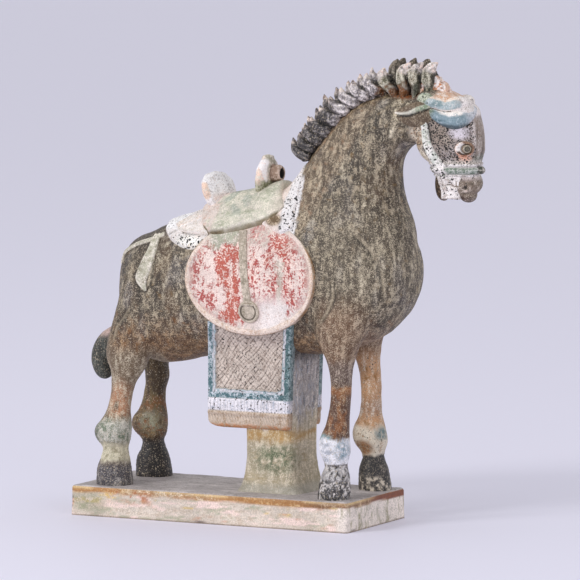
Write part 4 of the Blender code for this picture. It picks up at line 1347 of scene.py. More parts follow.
def forelock(side):
    """One side of the parted forelock: two crescents that sag from the poll and rise to the face's front."""
    upper = [(158, 14, 301, 3, 3), (164, 15.5, 300, 4, 4.2), (171, 15.8, 298.6, 4.6, 4.4)]
    upper += [(179, 15.2, 296.6, 4.8, 4.6), (186.5, 13.6, 298.2, 5.0, 5.4), (190, 9.4, 298.2, 4.6, 5.2)]
    upper += [(191.5, 3, 298.4, 3.8, 4.6)]
    lower = [(163, 15.5, 294.6, 2.4, 2.2), (170.5, 17, 290.6, 4.2, 3.8), (179, 18, 287.0, 5.0, 5.4)]
    lower += [(186.5, 16.6, 286.2, 5.2, 6.8), (191.5, 12.8, 288.2, 5.0, 6.8)]
    lower += [(194.2, 7, 291.4, 4.0, 6), (195.2, 2, 294, 3, 4.4)]
    pieces = []
    for name, rows in (("upper_lobe", upper), ("lower_lobe", lower)):
        rows = [(*turned(x, y, z), *halves) for x, y, z, *halves in on_side(rows, side)]
        pieces.append(horn(name, rows, LOBE_SIDES, LOBE_RINGS))
        along, angle = loft_places(pieces[-1], LOBE_RINGS, LOBE_SIDES)
        push(pieces[-1], 0.14 * np.cos(angle * 15) * within(along, 0.06, 0.94, 0.04))
    return pieces


def knot(side):
    """The knot from which the forelock's crescents and the cheek strap come."""
    return egg_shape("knot", (163, side * 15.2, 301.6), (6.2, 4.6, 4.8))


def ear(side):
    """An ear laid back, hollow along its upper side."""
    rows = [(171, 14.2, 292.4, 2.8, 7), (164, 16.3, 290.7, 4.6, 9.4), (156, 17.7, 289.4, 4.6, 8.8)]
    rows += [(149, 17.8, 289, 3.2, 6), (139.5, 16.6, 288.6, 1.0, 1.6)]
    obj = horn("ear", on_side(rows, side), 64, 70)
    push(obj, groove(figure_units(vertices(obj)), on_side(EAR_RIM, side), 1.1, 1.6))
    return obj


def forelock_stub():
    """What is left of the broken tuft between the mane and the brow."""
    rows = [(158, 0, 306, 7, 8), (166, 0, 308, 7, 11.5), (171.5, 0.5, 306.5, 6.5, 8.5)]
    rows += [(177, 1.5, 302.5, 6.5, 5.2), (183, 3, 299, 7, 4.6), (192, 4.5, 296, 8, 5)]
    obj = horn("forelock_stub", rows, 72, 90, 2.4)
    push(obj, ragged(figure_units(vertices(obj)), 7, 61) - 0.4)
    return obj


# Each lock of the mane: its foot on the crest and the tips of its near and of its far point
MANE = [
    ((65.4, 253.1), (50.0, 269.2), (51.5, 273.0)),
    ((70.5, 260.1), (55.1, 272.8), (53.8, 276.6)),
    ((76.4, 265.9), (60.2, 280.8), (58.7, 285.1)),
    ((83.2, 273.7), (65.3, 285.4), (65.5, 291.6)),
    ((90.7, 282.4), (72.9, 294.0), (72.2, 301.9)),
    ((99.1, 290.1), (81.3, 301.0), (82.4, 308.0)),
    ((106.8, 295.9), (90.5, 308.1), (92.5, 313.0)),
    ((115.4, 300.9), (100.6, 313.8), (102.5, 318.0)),
    ((124.6, 304.6), (112.3, 319.4), (112.8, 322.9)),
    ((134.4, 307.1), (127.2, 323.6), (134.3, 329.8)),
    ((144.4, 309.0), (149.0, 327.8), (140.1, 331.0)),
    ((154.6, 310.0), (159.6, 328.2), (149.3, 331.0)),
    ((165.2, 310.4), (171.3, 328.6), (160.5, 330.6)),
]
# The first lock over the poll, where they stand up and curl
CURLED = 10


def crest_step(k):
    """From the foot of the lock behind this one to that of the one in front, and how many steps that is."""
    last, nxt = max(k - 1, 0), min(k + 1, len(MANE) - 1)
    return np.array(MANE[nxt][0]) - np.array(MANE[last][0]), nxt - last


def crest_way(k):
    """The way along the crest at a lock, one unit long."""
    step, _ = crest_step(k)
    return step / np.linalg.norm(step)


def lock_path(k, side):
    """The middle line of a lock's near or far half in the crest's plane, from its foot to its tip."""
    foot = np.array(MANE[k][0])
    tip = np.array(MANE[k][1 if side < 0 else 2])
    crest = crest_way(k)
    bulge = 4.2 if k >= CURLED else 3.4
    root = -0.45 if k >= CURLED - 1 else 0.0
    # Share of the way to the tip, share of the bulge
    bows = [(root, 0.0), (0.08, 0.15), (0.28, 0.6), (0.52, 1.0), (0.72, 0.95), (0.87, 0.55), (1.0, 0.0)]
    points = []
    for share, bow in bows:
        points.append(foot + (tip - foot) * share - crest * bulge * bow)
    return points


def lock_half(k):
    """Half of a lock's length along the crest."""
    step, count = crest_step(k)
    return math.hypot(*step) / count / 2


def lock(k):
    """A plump tuft of the cropped mane, in a near and a far half that end in curled points."""
    pieces = []
    half = lock_half(k)
    widths = (0.34, 0.9, 1.08, 1.04, 0.74, 0.4, 0.08)
    if k >= CURLED - 1:
        widths = (0.4, 0.86, 1.06, 1.06, 0.86, 0.56, 0.12)
    outs = (6.0, 6.4, 6.2, 5.4, 4.8, 4.4, 4.0)
    for side in (-1, 1):
        rows = []
        for (x, z), width, out in zip(lock_path(k, side), widths, outs):
            rows.append((x, side * out, z, width * 5.4, width * (half + 0.1)))
        pieces.append(horn("half_lock", rows, 32, 50))
    foot, near, far = (np.array(point) for point in MANE[k])
    top = (near + far) / 2
    crest = crest_way(k)
    rings = []
    for share, length, thick in ((-0.5, 1.0, 5.0), (0.2, 1.0, 5.0), (0.45, 0.9, 4.2), (0.6, 0.5, 2.2)):
        centre = foot + (top - foot) * share
        along = direction(crest[0], 0, crest[1]) * (half * length)
        middle = place(centre[0], 0, centre[1])
        rings.append(ring(middle, direction(0, thick, 0), along, 2.4, sides=32))
    pieces.append(loft("core", rings))
    return pieces


def mane():
    """Plump tufts side by side along the crest, and how far up them, furrowed and combed each point is."""
    pieces = []
    for k in range(len(MANE)):
        pieces += lock(k)
    obj = melted(joined("mane", pieces), MANE_VOXEL, MANE_SOFTENING)
    at = figure_units(vertices(obj))
    flat = at[:, [0, 2]]
    nearest = np.full(len(at), np.inf)
    across, up = np.zeros(len(at)), np.zeros(len(at))
    pieces_of_path = 13
    for k in range(len(MANE)):
        for side in (-1, 1):
            path = run_through(lock_path(k, side), pieces_of_path + 1, keys=2)
            own = (at[:, 1] * side >= 0) | (np.abs(at[:, 1]) < 0.5)
            for i, (a, b) in enumerate(zip(path, path[1:])):
                step = b - a
                t = np.clip((flat - a) @ step / (step @ step), 0, 1)
                off = flat - a - t[:, None] * step
                distance = np.linalg.norm(off, axis=1) / lock_half(k)
                closer = own & (distance < nearest)
                sign = np.sign(off @ np.array([step[1], -step[0]]))
                nearest = np.where(closer, distance, nearest)
                across = np.where(closer, distance * sign, across)
                up = np.where(closer, (i + t) / pieces_of_path, up)
    furrow = rise(nearest, 0.66, 0.98) * fall(up, 0.75, 0.98)
    arcs = np.cos(2 * math.pi * (across * 1.25 + up * 1.1 + waves(at, 11, 174) * 0.35))
    push(obj, 0.26 * arcs * fall(up, 0.85, 1.0) - 0.9 * furrow + waves(at, 5, 175) * 0.2)
    return obj, np.stack([up, furrow, arcs], axis=1)


def teeth():
    """The bared teeth between the upper lip and the chin, in two rows on each side."""
    profile = [(226.5, -1.0), (227, 0.4), (228.5, 1.0), (240, 1.0), (246, 1.1), (247.5, 0.4), (248, -1.0)]
    turn = head_turn()
    rings = []
    for z, swell in run_through(profile, 60, keys=1):
        back, front, half_width, _ = head_row(max(z, 233))
        half_x, half_y = (front - back) / 2 - 4.5, half_width * 0.94 + swell
        level = level_ring((back + front) / 2 - 2.5, 0, z, half_x, half_y, 5.0, sides=160)
        rings.append([turn @ point for point in level])
    obj = loft("teeth", rings)
    at, x, _, z = measured(obj)
    bent = waves(at, 9, 204) * 0.7
    pitch = 5.6
    away = np.abs((x + bent + 0.16 * (z - 238) - 174.5) % pitch - pitch / 2)
    cuts = bell(away, 0.5) * 0.7 + bell(z + bent - 236.6, 0.6)
    push(obj, -0.6 * np.minimum(cuts, 1.0) + waves(at, 5, 205) * 0.25)
    return obj


# Coats of paint and glaze
def leg_coats(coat):
    """Bands of glaze down each leg, from the cannon to the hoof."""
    at = coat.at
    x, y, z = at.T
    height = z + ragged(at, 9, 71) * 2.2
    fore, hind = rise(x, 70, 74), rise(-x, 50, 54)
    near, far = rise(-y, -2, 2), rise(y, -2, 2)
    off_tail = 1 - rise(-x, 108, 112) * rise(z, 60, 66)
    near_fore, far_fore = fore * near, fore * far
    near_hind, far_hind = hind * near * off_tail, hind * far
    low = fall(z, 96, 112)

    band = near_fore * within(z + waves(at, 8, 72) * 0.7, 47, 84.5, 0.5)
    coat.over(near_fore * within(height, 84.5, 104, 5), (92, 74, 64), (176, 160, 146), 0.38)
    coat.over(band, (86, 58, 42), (152, 130, 112), 0.28, gloss=0.6)
    coat.over(band * rise(height, 76, 84), (146, 94, 50), (196, 160, 120), 0.32)
    coat.over(band * blotches(at, 9, 73, 0.1, 0.5, (1, 1, 2)), (128, 80, 44), (176, 150, 120), 0.36)
    coat.over(near_fore * within(height, 44.5, 48.5, 1.2) * fall(x, 99, 104), TEAL, PALE_TEAL, 0.5, gloss=0.5)
    fetlock = near_fore * within(height, 25.5, 45, 1.0)
    coat.over(fetlock, (240, 239, 243), (184, 187, 194), 0.30, gloss=0.35)
    coat.over(fetlock * blotches(at, 6, 206, 0.15, 0.5, (3, 3, 1)), (170, 174, 184), (226, 228, 234), 0.4)
    blue = spot(at, (110, -40, 37), (5, 9, 7), 0.6) * blotches(at, 5, 207, -0.4, 0.2)
    coat.over(near_fore * blue, (104, 132, 144), (206, 214, 222), 0.44)
    coat.over(near_fore * within(z, 24, 26.4, 0.5), (84, 78, 76), (150, 144, 142), 0.3)
    hoof = near_fore * fall(height, 24.5, 26.5)
    coat.over(hoof, (62, 59, 60), (190, 186, 184), 0.30, gloss=0.5)
    coat.over(hoof * rise(z, 11, 17), (150, 146, 146), (220, 216, 214), 0.46)
    coat.over(hoof * blotches(at, 8, 208, 0.08, 0.22, (1, 1, 0.7)), (220, 214, 210), (150, 144, 142), 0.22)
    coat.over(hoof * rise(-ragged(at, 6, 209), 0.25, 0.45), (34, 33, 34), loss=0.16)

    coat.over(far_fore * low, (186, 142, 102), (222, 208, 190), 0.34, specks=0.1, gloss=0.5)
    coat.over(
        far_fore * low * blotches(at, 12, 74, 0.1, 0.5, (1, 1, 2.4)), (150, 106, 60), (186, 150, 110), 0.34
    )
    coat.over(far_fore * low * within(height, 56, 70, 5), (162, 124, 94), (212, 196, 180), 0.44)
    coat.over(far_fore * fall(height, 46, 51), (218, 207, 188), (170, 138, 106), 0.32, gloss=0.4)
    coat.over(far_fore * spot(at, (97, 20, 32), (8, 9, 6)), (146, 104, 68), CREAM, 0.36)
    dull_teal = spot(at, (112, 28, 43), (7, 10, 4.5), 0.6) * blotches(at, 5, 216, -0.5, 0.1)
    coat.over(far_fore * dull_teal, (84, 108, 110), PALE_TEAL, 0.42)
    coat.over(far_fore * fall(height, 25, 28), (44, 42, 42), (150, 140, 128), 0.26, gloss=0.55)
    coat.over(far_fore * fall(z, 8, 12) * blotches(at, 6, 217, 0.1, 0.4), (206, 194, 176), loss=0.3)

    coat.over(near_hind * low, (108, 90, 70), (196, 184, 162), 0.40, gloss=0.4)
    warm = spot(at, (-82, -38, 64), (9, 12, 14), 0.6) * blotches(at, 11, 218, -0.7, 0.1, (1, 1, 2))
    coat.over(near_hind * warm * 0.85, (184, 130, 94), (222, 200, 172), 0.42)
    coat.over(near_hind * within(height, 31, 50, 4), (140, 142, 126), (208, 204, 192), 0.52, gloss=0.5)
    coat.over(
        near_hind * within(height, 33, 50, 4) * blotches(at, 8, 219, 0.1, 0.4), (104, 118, 96), loss=0.4
    )
    coat.over(near_hind * within(height, 31, 52, 4) * rise(-x, 98, 103), (84, 92, 80), (150, 152, 138), 0.36)
    coat.over(near_hind * within(height, 18, 31, 2), (214, 206, 180), (176, 170, 144), 0.34)
    coat.over(
        near_hind * within(height, 18, 30, 2) * blotches(at, 7, 220, 0.3, 0.6), (150, 142, 114), loss=0.4
    )
    coat.over(near_hind * fall(height, 12, 21), (70, 66, 70), (170, 164, 158), 0.34, gloss=0.5)

    coat.over(far_hind * low, (68, 54, 38), (116, 96, 66), 0.34, gloss=0.5)
    coat.over(far_hind * low * clouds(at, 7, 221, 0.1, 0.6, (1, 1, 5)), (106, 92, 62), loss=0.4)
    coat.over(
        far_hind * within(height, 48, 62, 5) * blotches(at, 9, 222, -0.2, 0.3),
        (140, 92, 50), BROWN_GLAZE, 0.42,
    )
    coat.over(far_hind * within(height, 29, 51, 3), (86, 66, 44), (150, 126, 90), 0.40, gloss=0.5)
    pale = spot(at, (-84, 18, 43), (9, 9, 8), 0.6) * blotches(at, 7, 223, -0.6, 0.0)
    coat.over(far_hind * pale * 0.85, (166, 166, 144), (120, 110, 78), 0.40)
    coat.over(far_hind * within(height, 30, 46, 3) * blotches(at, 5, 224, 0.35, 0.6), (136, 80, 38), loss=0.3)
    coat.over(far_hind * fall(height, 24, 33), (36, 32, 31), (104, 94, 90), 0.24, gloss=0.6)


def head_coats(coat):
    """The grounds of the head from its jaw to its brow, with the spots and dark lines on them."""
    at = coat.at
    x, y, z = at.T
    turn = math.radians(HEAD_TURN)
    ahead = POLL_X + (x - POLL_X) * math.cos(turn) + y * math.sin(turn)
    aside = np.abs(y * math.cos(turn) - (x - POLL_X) * math.sin(turn))
    unturned = np.stack([ahead, aside, z], axis=1)
    head_zone = rise(x - 0.35 * (z - 272) * (z > 272), 158, 164) * rise(z, 224, 229)
    coat.over(head_zone, (184, 174, 170), (116, 100, 88), 0.44, specks=1.0, gloss=0.4)
    brown = spot(unturned, (176, 18, 276), (11, 8, 12), 0.5)
    coat.over(head_zone * brown * 0.8, (128, 110, 94), (186, 174, 160), 0.42, specks=0.9)
    coat.over(head_zone * rise(z, 296, 299), (216, 166, 130), (238, 224, 212), 0.46, specks=0.0)
    streaks = waves(at, 5, 75, (1, 1, 4))
    forehead = head_zone * fall(aside, 9.5, 12) * rise(ahead, 190, 195) * within(z, 250, 289, 3)
    coat.over(forehead, (150, 134, 122), (204, 194, 188), 0.40, specks=0.1)
    coat.over(forehead * rise(streaks, 0.1, 0.6), (106, 92, 82), (150, 136, 124), 0.4)
    coat.over(
        head_zone * spot(unturned, (190, 17, 277), (8, 6, 4.5), 0.5),
        (222, 214, 220), (160, 152, 152), 0.30, specks=0.2,
    )
    streak = within(aside + waves(at, 4, 234) * 0.5, 10.4, 12.6, 0.9) * rise(ahead, 192, 196)
    streak *= within(z, 266, 284, 2)
    coat.over(head_zone * streak * 0.75, (232, 222, 216), (170, 152, 142), 0.38, specks=0.2)
    between_lobes = head_zone * within(z, 289, 300, 1.5) * rise(ahead, 182, 187)
    coat.over(between_lobes, (240, 232, 228), (206, 192, 186), 0.28, specks=0.1)
    below_eye = head_zone * rise(ahead, 189, 194) * fall(z + waves(at, 6, 225), 256, 263)
    coat.over(below_eye, (98, 100, 86), (190, 190, 178), 0.42, specks=0.5)
    coat.over(spot(unturned, (193, 15, 257), (6, 6, 3.6)), (222, 172, 146), PINK_BISQUE, 0.3)
    nose = spot(at, (193, 3, 236), (13, 15, 12))
    coat.over(nose, (120, 104, 88), (200, 186, 172), 0.38, specks=0.3, gloss=0.5)
    coat.over(nose * rise(z, 240, 243) * rise(x, 190, 194), (214, 198, 194), (130, 110, 100), 0.36)
    coat.over(spot(at, (190, 3, 225), (8, 12, 4)), (86, 68, 58), (180, 164, 152), 0.3, gloss=0.5)
    coat.over(spot(at, (172, 0, 236), (9, 14, 15)), (86, 65, 46), (160, 138, 112), 0.28, gloss=0.5)
    coat.over(within(z, 243, 256, 1.5) * head_zone, (228, 218, 208), (150, 146, 136), 0.36, specks=0.5)
    for side in (-1, 1):
        hole = np.array(nostril(side))
        # Painted shade: the nostril holes are painted near black
        coat.over(spot(at, hole, (1.5, 1.5, 1.5)), SOOT_AND_SHADE, BROWN_GLAZE, 0.2)
        coat.over(spot(at, hole - (0, 0, 3), (2.4, 2.4, 1.4)), PALE_SLIP, PINK_BISQUE, 0.3)
    behind_strap = spot(at, (160, -16, 274), (6, 10, 14)) + spot(at, (157, 20, 274), (6, 10, 14))
    coat.over(behind_strap, (220, 208, 188), (146, 112, 84), 0.38, specks=0.5)
    coat.over(behind_strap * blotches(at, 7, 226, 0.1, 0.4), (124, 88, 62), (196, 176, 148), 0.40)
    coat.over(spot(at, (163, -13, 257), (6, 8, 6)), (222, 210, 190), (150, 130, 108), 0.34, specks=0.4)
    cheek_line = [(163.5, 292), (166.6, 281), (169.6, 269)]
    jaw_line = [(155, 288), (153.5, 280), (154, 272), (156, 266)]
    for line in (cheek_line, jaw_line):
        for side in (-1, 1):
            path = [turned(ahead_at, side * 19, height) for ahead_at, height in line]
            coat.over(bell(line_distance(at, path), 1.0), (44, 36, 30), BROWN_GLAZE, 0.24)
    mark = line_distance(at, [(139.5, -20, 272), (140.6, -20.3, 275), (140.2, -20.3, 278)])
    coat.over(fall(mark, 0.5, 1.0), (224, 212, 186), PALE_SLIP, 0.2)


def figure_coat(obj):
    at, x, y, z = measured(obj)
    coat = Coat(at, (70, 61, 50), (178, 165, 141), 0.37, gloss=0.42)
    coat.over(clouds(at, 34, 81, 0.1, 1.0, (1, 1, 2.2)) * 0.6, (98, 74, 52), loss=0.40)
    coat.over(clouds(at, 20, 82, 0.1, 0.8, (1, 1, 2.5)) * 0.7, (84, 78, 76), (190, 182, 170), 0.42)
    coat.over(rise(z + x * 0.25, 168, 200) * fall(x, 20, 60), (78, 70, 64), (178, 168, 156), 0.38)
    coat.over(
        blotches(at, 15, 83, 0.35, 0.7, (1, 1, 2.4)) * rise(z, 115, 150), (98, 86, 70), (206, 194, 170), 0.50
    )
    coat.over(
        blotches(at, 17, 87, 0.25, 0.6, (1, 1, 3.2)) * rise(z, 105, 130) * 0.75, (50, 43, 36), loss=0.26
    )
    coat.over(
        blotches(at, 10, 235, 0.42, 0.66, (1, 1, 3.5)) * rise(z, 140, 170) * 0.8, (140, 126, 102), CREAM, 0.54
    )
    belly = fall(z + ragged(at, 18, 84) * 10, 108, 138) * within(x, -90, 120, 8)
    coat.over(belly, (84, 60, 42), (164, 134, 100), 0.42)
    coat.over(blotches(at, 12, 85, 0.35, 0.7) * fall(z, 120, 150), (122, 84, 48), loss=0.4)
    coat.over(within(x, 90, 125, 10) * within(z, 100, 150, 12), (100, 74, 54), (178, 156, 132), 0.42)
    crest_x, crest_z = np.array([foot for foot, _, _ in MANE]).T
    crest = rise(z - np.interp(x, crest_x, crest_z), -7, -3) * within(x, 58, 160, 3)
    coat.over(crest, (64, 52, 38), (166, 140, 96), 0.34)
    coat.over(spot(at, (146, 0, 306), (13, 16, 6)), (150, 84, 40), DARK_GLAZE, 0.35, gloss=0.5)
    coat.over(blotches(at, 8, 86, 0.5, 0.9) * rise(z, 120, 160) * 0.6, (140, 110, 66))
    front = rise(x, 60, 64) * fall(x - 55 - 0.55 * (z - 190), 10, 14) * rise(z, 190, 200)
    coat.over(front * 0.5, (100, 82, 64), (198, 178, 150), 0.42)
    coat.over(front * blotches(at, 12, 88, 0.3, 0.6) * 0.6, (160, 124, 92), CREAM, 0.4)
    coat.over(within(x, 85, 150, 12) * within(z, 150, 215, 15) * 0.5, (92, 82, 68), (190, 178, 154), 0.44)
    coat.over(rise(z, 174, 184) * fall(x, -62, -40) * 0.85, (54, 47, 41), (138, 128, 114), 0.30)
    edge = fall(x - 67.3 + 0.05 * (z - 204), -0.5, 0.5) * rise(x, 56, 58) * within(z, 196, 240, 3)
    coat.over(edge, CLEAN_WHITE, TAN_SLIP, 0.2, specks=0.5)
    leg_coats(coat)
    head_coats(coat)
    tail_zone = fall(x, -104, -100) * within(z, 70, 124, 3) * fall(np.abs(y), 12, 14)
    coat.over(tail_zone, (54, 55, 50), (112, 114, 106), 0.36, gloss=0.5)
    coat.over(tail_zone * rise(z, 108, 114), (196, 170, 160), (120, 100, 90), 0.4)
    # The clay stands worn between two cuts and beside a fold, and painted shade darkens the cuts, the one
    # round the leaf ribbon too
    ridges = [beside(CHEST_LINE, 2.0, 1.0), beside(HAUNCH_LINE, 2.3, 0.3), beside(SHOULDER_LINE, -2.1, -0.3)]
    for path in ridges:
        coat.over(0.6 * line_marks(at, path, 1.5), (168, 154, 128), CREAM, 0.46)
    cuts = np.zeros(len(at))
    outlines = [HAUNCH_LINE, SHOULDER_LINE, LEAF_OUTLINE, SECOND_HAUNCH_LINE, SECOND_SHOULDER_LINE]
    for path in (*outlines, CHEST_LINE):
        cuts += line_marks(at, path, 1.2)
    coat.shade(1 - 0.62 * np.clip(cuts, 0, 1))
    return coat


def slab_coat(obj):
    at, x, y, z = measured(obj)
    coat = Coat(at, (218, 206, 192), (198, 182, 164), 0.4, gloss=0.25)
    lengthwise = (7, 7, 1)
    coat.over(blotches(at, 9, 91, 0.1, 0.5, lengthwise), (240, 216, 206), (214, 196, 180), loss=0.3)
    coat.over(blotches(at, 8, 92, 0.3, 0.6, lengthwise) * 0.8, (168, 170, 144), loss=0.4)
    coat.over(blotches(at, 7, 93, 0.5, 0.8, lengthwise) * within(z, -14, -3, 2), (220, 192, 124), loss=0.4)
    coat.over(blotches(at, 8, 97, 0.55, 0.8, lengthwise) * 0.8, (206, 160, 136), loss=0.4)
    coat.over(spot(at, (-104, -50, -12), (16, 4, 8)) * 0.6, (150, 150, 118), (206, 196, 176), 0.4)
    end = rise(x, 108, 113)
    coat.over(end, (236, 224, 214), (190, 182, 168), 0.34)
    coat.over(end * blotches(at, 8, 98, 0.2, 0.5, (1, 1, 5)), (168, 160, 134), (214, 204, 192), 0.4)
    rim = rise(z + ragged(at, 14, 94, lengthwise) * 1.6, -6.6, -5.0) * fall(z, -1.5, -1.1)
    coat.over(rim, (176, 126, 74), (222, 190, 140), 0.30, gloss=0.6)
    coat.over(rim * rise(x + 15 * waves(at, 50, 95), 60, 92), (128, 92, 62), (196, 170, 140), 0.34)
    coat.over(rim * within(x, -70, 10, 14), (172, 132, 92), (222, 206, 180), 0.42)
    drips = blotches(at, 12, 99, 0.1, 0.4, (1.6, 1.6, 1)) * within(x, -82, -50, 8) * within(z, -12, -3, 2)
    coat.over(drips, (178, 108, 66), (226, 180, 140), 0.4)
    coat.over(
        rise(z, -3.4, -2.2) * fall(z, -1.5, -1.1) * clouds(at, 40, 100, -0.4, 0.4), (214, 182, 130), loss=0.3
    )
    coat.over(rim * end * rise(y, -18, 4), (124, 68, 42), (160, 100, 66), 0.24)
    top = rise(z, -1.4, -1.0)
    coat.over(top, (182, 174, 172), (146, 138, 134), 0.36, gloss=0.35)
    coat.over(top * blotches(at, 26, 96, 0.1, 0.6, (2, 1, 1)), (200, 192, 190), (160, 152, 146), 0.3)
    # Painted shadow: a thin ragged dark line along the foot of the slab's sides, where it meets the floor
    coat.over(fall(z + waves(at, 24, 90) * 0.5, -23.3, -22.7), (58, 50, 44), SHADOW_AND_DUST_BROWN, 0.2)
    under = fall(z, -23.8, -23.3)
    coat.over(under, (176, 156, 136), SHADOW_AND_DUST_BROWN, 0.4, gloss=0.0)
    chip = spot(at, (-118, -50, -13), (2.4, 4, 5))
    coat.over(chip, (70, 58, 48), BISQUE, 0.4)
    return coat


def pillar_coat(obj):
    at, _, _, z = measured(obj)
    upright, level = (1, 1, 3.5), (3, 3, 1)
    height = z + ragged(at, 22, 101, (1, 1, 2)) * 9
    coat = Coat(at, (170, 158, 132), (226, 214, 192), 0.48, gloss=0.35)
    coat.over(blotches(at, 10, 102, 0.2, 0.6, level), (190, 176, 146), (150, 134, 104), loss=0.44)
    green = spot(at, (46, -28, 26), (17, 20, 11), 0.6) + spot(at, (30, 28, 26), (17, 20, 11), 0.6)
    coat.over(green * blotches(at, 9, 103, -0.5, 0.2), (84, 98, 70), (160, 160, 132), 0.42)
    coat.over(within(z + waves(at, 14, 105, level) * 3, 40, 47, 3), (178, 140, 84), (214, 196, 162), 0.4)
    coat.over(rise(height, 48, 64), GREY_SLIP, (222, 216, 212), 0.48)
    streaks = ragged(at, 8, 104, upright)
    coat.over(rise(height, 50, 66) * rise(streaks, 0.1, 0.6), (104, 106, 112), (186, 190, 198), 0.42)
    coat.over(rise(height, 50, 66) * rise(-streaks, 0.2, 0.6), (178, 180, 188), (120, 118, 120), 0.36)
    coat.over(rise(z, 96, 106), (74, 70, 66), (150, 146, 142), 0.36)
    coat.over(fall(z, 3, 9), (168, 162, 146), (196, 190, 176), 0.45)
    return coat


def rug_coat(obj):
    at = figure_units(vertices(obj))
    x, y, z = vertices(obj).T
    x = x - RUG_LEAN * draped(z) * UNIT
    rear, front = rug_ends()
    to_side = np.minimum(x - rear, rug_front(z) - x) / UNIT
    above = (z - rug_height(0)) / UNIT
    fringe, bead, border = RUG_FRINGE / UNIT, (RUG_FRINGE + RUG_BEADING) / UNIT, RUG_BORDER / UNIT
    coat = Coat(at, (210, 196, 184), (168, 152, 140), 0.38, specks=0.16, gloss=0.15)
    proud = np.abs(y) - RUG_WIDTH / 2 - draped(z) * UNIT
    field = rise(to_side, border, border + 0.6)
    hatched = rise(-proud, 0.00008, 0.00026) * field * rise(above, bead, bead + 1)
    coat.over(hatched * 0.8 * clouds(at, 6, 113, -0.9, 0.1), (112, 96, 86), (140, 126, 114), 0.4)
    edge = np.minimum(to_side, above - bead) + waves(at, 7, 111) * 0.5
    teal = fall(edge, border * 0.86, border) * rise(above, bead - 0.3, bead + 0.3)
    coat.over(teal, (78, 112, 118), (196, 204, 210), 0.44, gloss=0.4)
    coat.over(teal * rise(x, front - 0.014, front - 0.006), (74, 104, 106), (156, 172, 174), 0.36)
    white_line = within(edge, border * 0.62, border * 0.86, 0.5) * rise(above, bead, bead + 0.6)
    coat.over(white_line, (228, 226, 230), PALE_TEAL, 0.35)
    coat.over(within(above, fringe, bead, 0.4), (236, 232, 236), (170, 176, 188), 0.30, specks=0.25)
    coat.over(fall(above, fringe - 0.5, fringe + 0.5), (206, 188, 170), (170, 146, 122), 0.38, specks=0.0)
    coat.over(fall(above + waves(at, 9, 112), 1.5, 4), (188, 132, 92), CREAM, 0.36)
    return coat


# Where the flap's red paint is left: rear, front, low and high limit, how much of it
RED_PATCHES = [
    (5.2, 27.4, 127, 187, 0.95),
    (-17, -6, 148, 180, 0.54),
    (-8, 6, 134, 156, 0.52),
    (33, 43, 156, 183, 0.58),
    (42, 59, 157, 171, 0.42),
    (48, 67, 179, 202, 0.72),
    (62, 71, 134, 186, 0.56),
    (75, 82, 149, 175, 0.50),
    (21, 29, 183, 192, 0.50),
    (28, 46, 194, 203, 0.42),
]
# Where it is rubbed thin inside them
BARE_PATCHES = [(7, 14, 139, 159, 0.75), (16, 20, 166, 180, 0.4)]


def flap_coat(obj, side):
    at, x, _, z = measured(obj)
    across, up = (x - FLAP_X) / (FLAP_LENGTH / 2 / UNIT), (z - FLAP_Z) / (FLAP_DROP / 2 / UNIT)
    part_out = np.hypot(across, up)
    height = up / np.maximum(part_out, 0.1)
    rim_edge = 0.945 - 0.05 * rise(-height, 0.3, 0.9)
    upright = (1, 1, 2.0)
    worn = ragged(at, 12, 121 + side, upright)
    chipped = ragged(at, 4.5, 128 + side, (1, 1, 1.5))
    coat = Coat(at, (232, 214, 203), (212, 200, 190), 0.36, gloss=0.12)
    left = np.zeros(len(at))
    for rear, front, low, high, share in RED_PATCHES:
        wander = waves(at, 14, 127 + side, upright) * 3.0
        patch = share * within(x + wander, rear, front, 3.0)
        left = np.maximum(left, patch * within(z + wander * 2, low, high, 5))
    for rear, front, low, high, share in BARE_PATCHES:
        left -= share * within(x, rear, front, 1.6) * within(z, low, high, 3)
    inner = fall(part_out, rim_edge - 0.03, rim_edge + 0.005)
    scraped = ragged(at, 2.4, 132 + side, (1, 1, 2.4))
    red = rise(left + worn * 0.26 + chipped * 0.26 + scraped * 0.24, 0.36, 0.46) * inner
    near_red = rise(left + worn * 0.3 + chipped * 0.2, -0.1, 0.3)
    field = inner * rise(z + ragged(at, 14, 232) * 8, 132, 146) * (1 - red)
    coat.over(field, (176, 82, 80), (232, 212, 202), 0.74)
    coat.over(field * near_red, (178, 80, 76), loss=0.66)
    coat.over(field * (1 - near_red) * rise(x, 34, 46) * within(z, 150, 186, 8), loss=0.64)
    coat.over(red, RED_PAINT, (238, 210, 198), 0.50, gloss=0.2)
    coat.over(red * rise(left, 0.6, 0.9), loss=0.42)
    coat.over(red * fall(left, 0.6, 0.8) * 0.7, (172, 78, 76), loss=0.50)
    washed = rise(z + ragged(at, 12, 124 + side) * 8, 182, 192) * (1 - red)
    coat.over(washed * within(x, -4, 24, 5), (172, 172, 152), (214, 206, 194), 0.42)
    coat.over(washed * rise(x, 24, 34) * 0.7, (224, 204, 194), (206, 196, 182), 0.44)
    greyed = within(x + waves(at, 16, 233) * 2, 57, 63, 2) * (1 - red) * inner
    coat.over(greyed * 0.8, (196, 192, 176), (226, 216, 204), 0.4)
    pale = within(x, STIRRUP_X + 6, FLAP_X + 42, 8) * fall(z, 142, 158) * (1 - red)
    coat.over(pale, (240, 230, 224), (224, 206, 196), 0.26)
    rim = rise(part_out + waves(at, 12, 125) * 0.012, rim_edge - 0.015, rim_edge + 0.01)
    coat.over(rim * fall(up, 0.35, 0.75), (236, 218, 204), (214, 186, 164), 0.36)
    edge = rise(part_out + waves(at, 20, 126) * 0.006, 0.985, 1.0) * fall(up, 0.5, 0.8)
    coat.over(edge, (172, 132, 96), CREAM, 0.38)
    seam = within(part_out, rim_edge - 0.004, rim_edge + 0.002, 0.004) * fall(up, 0.3, 0.6)
    coat.over(seam * blotches(at, 7, 133, -0.4, 0.2) * 0.5, (184, 150, 126))
    return coat


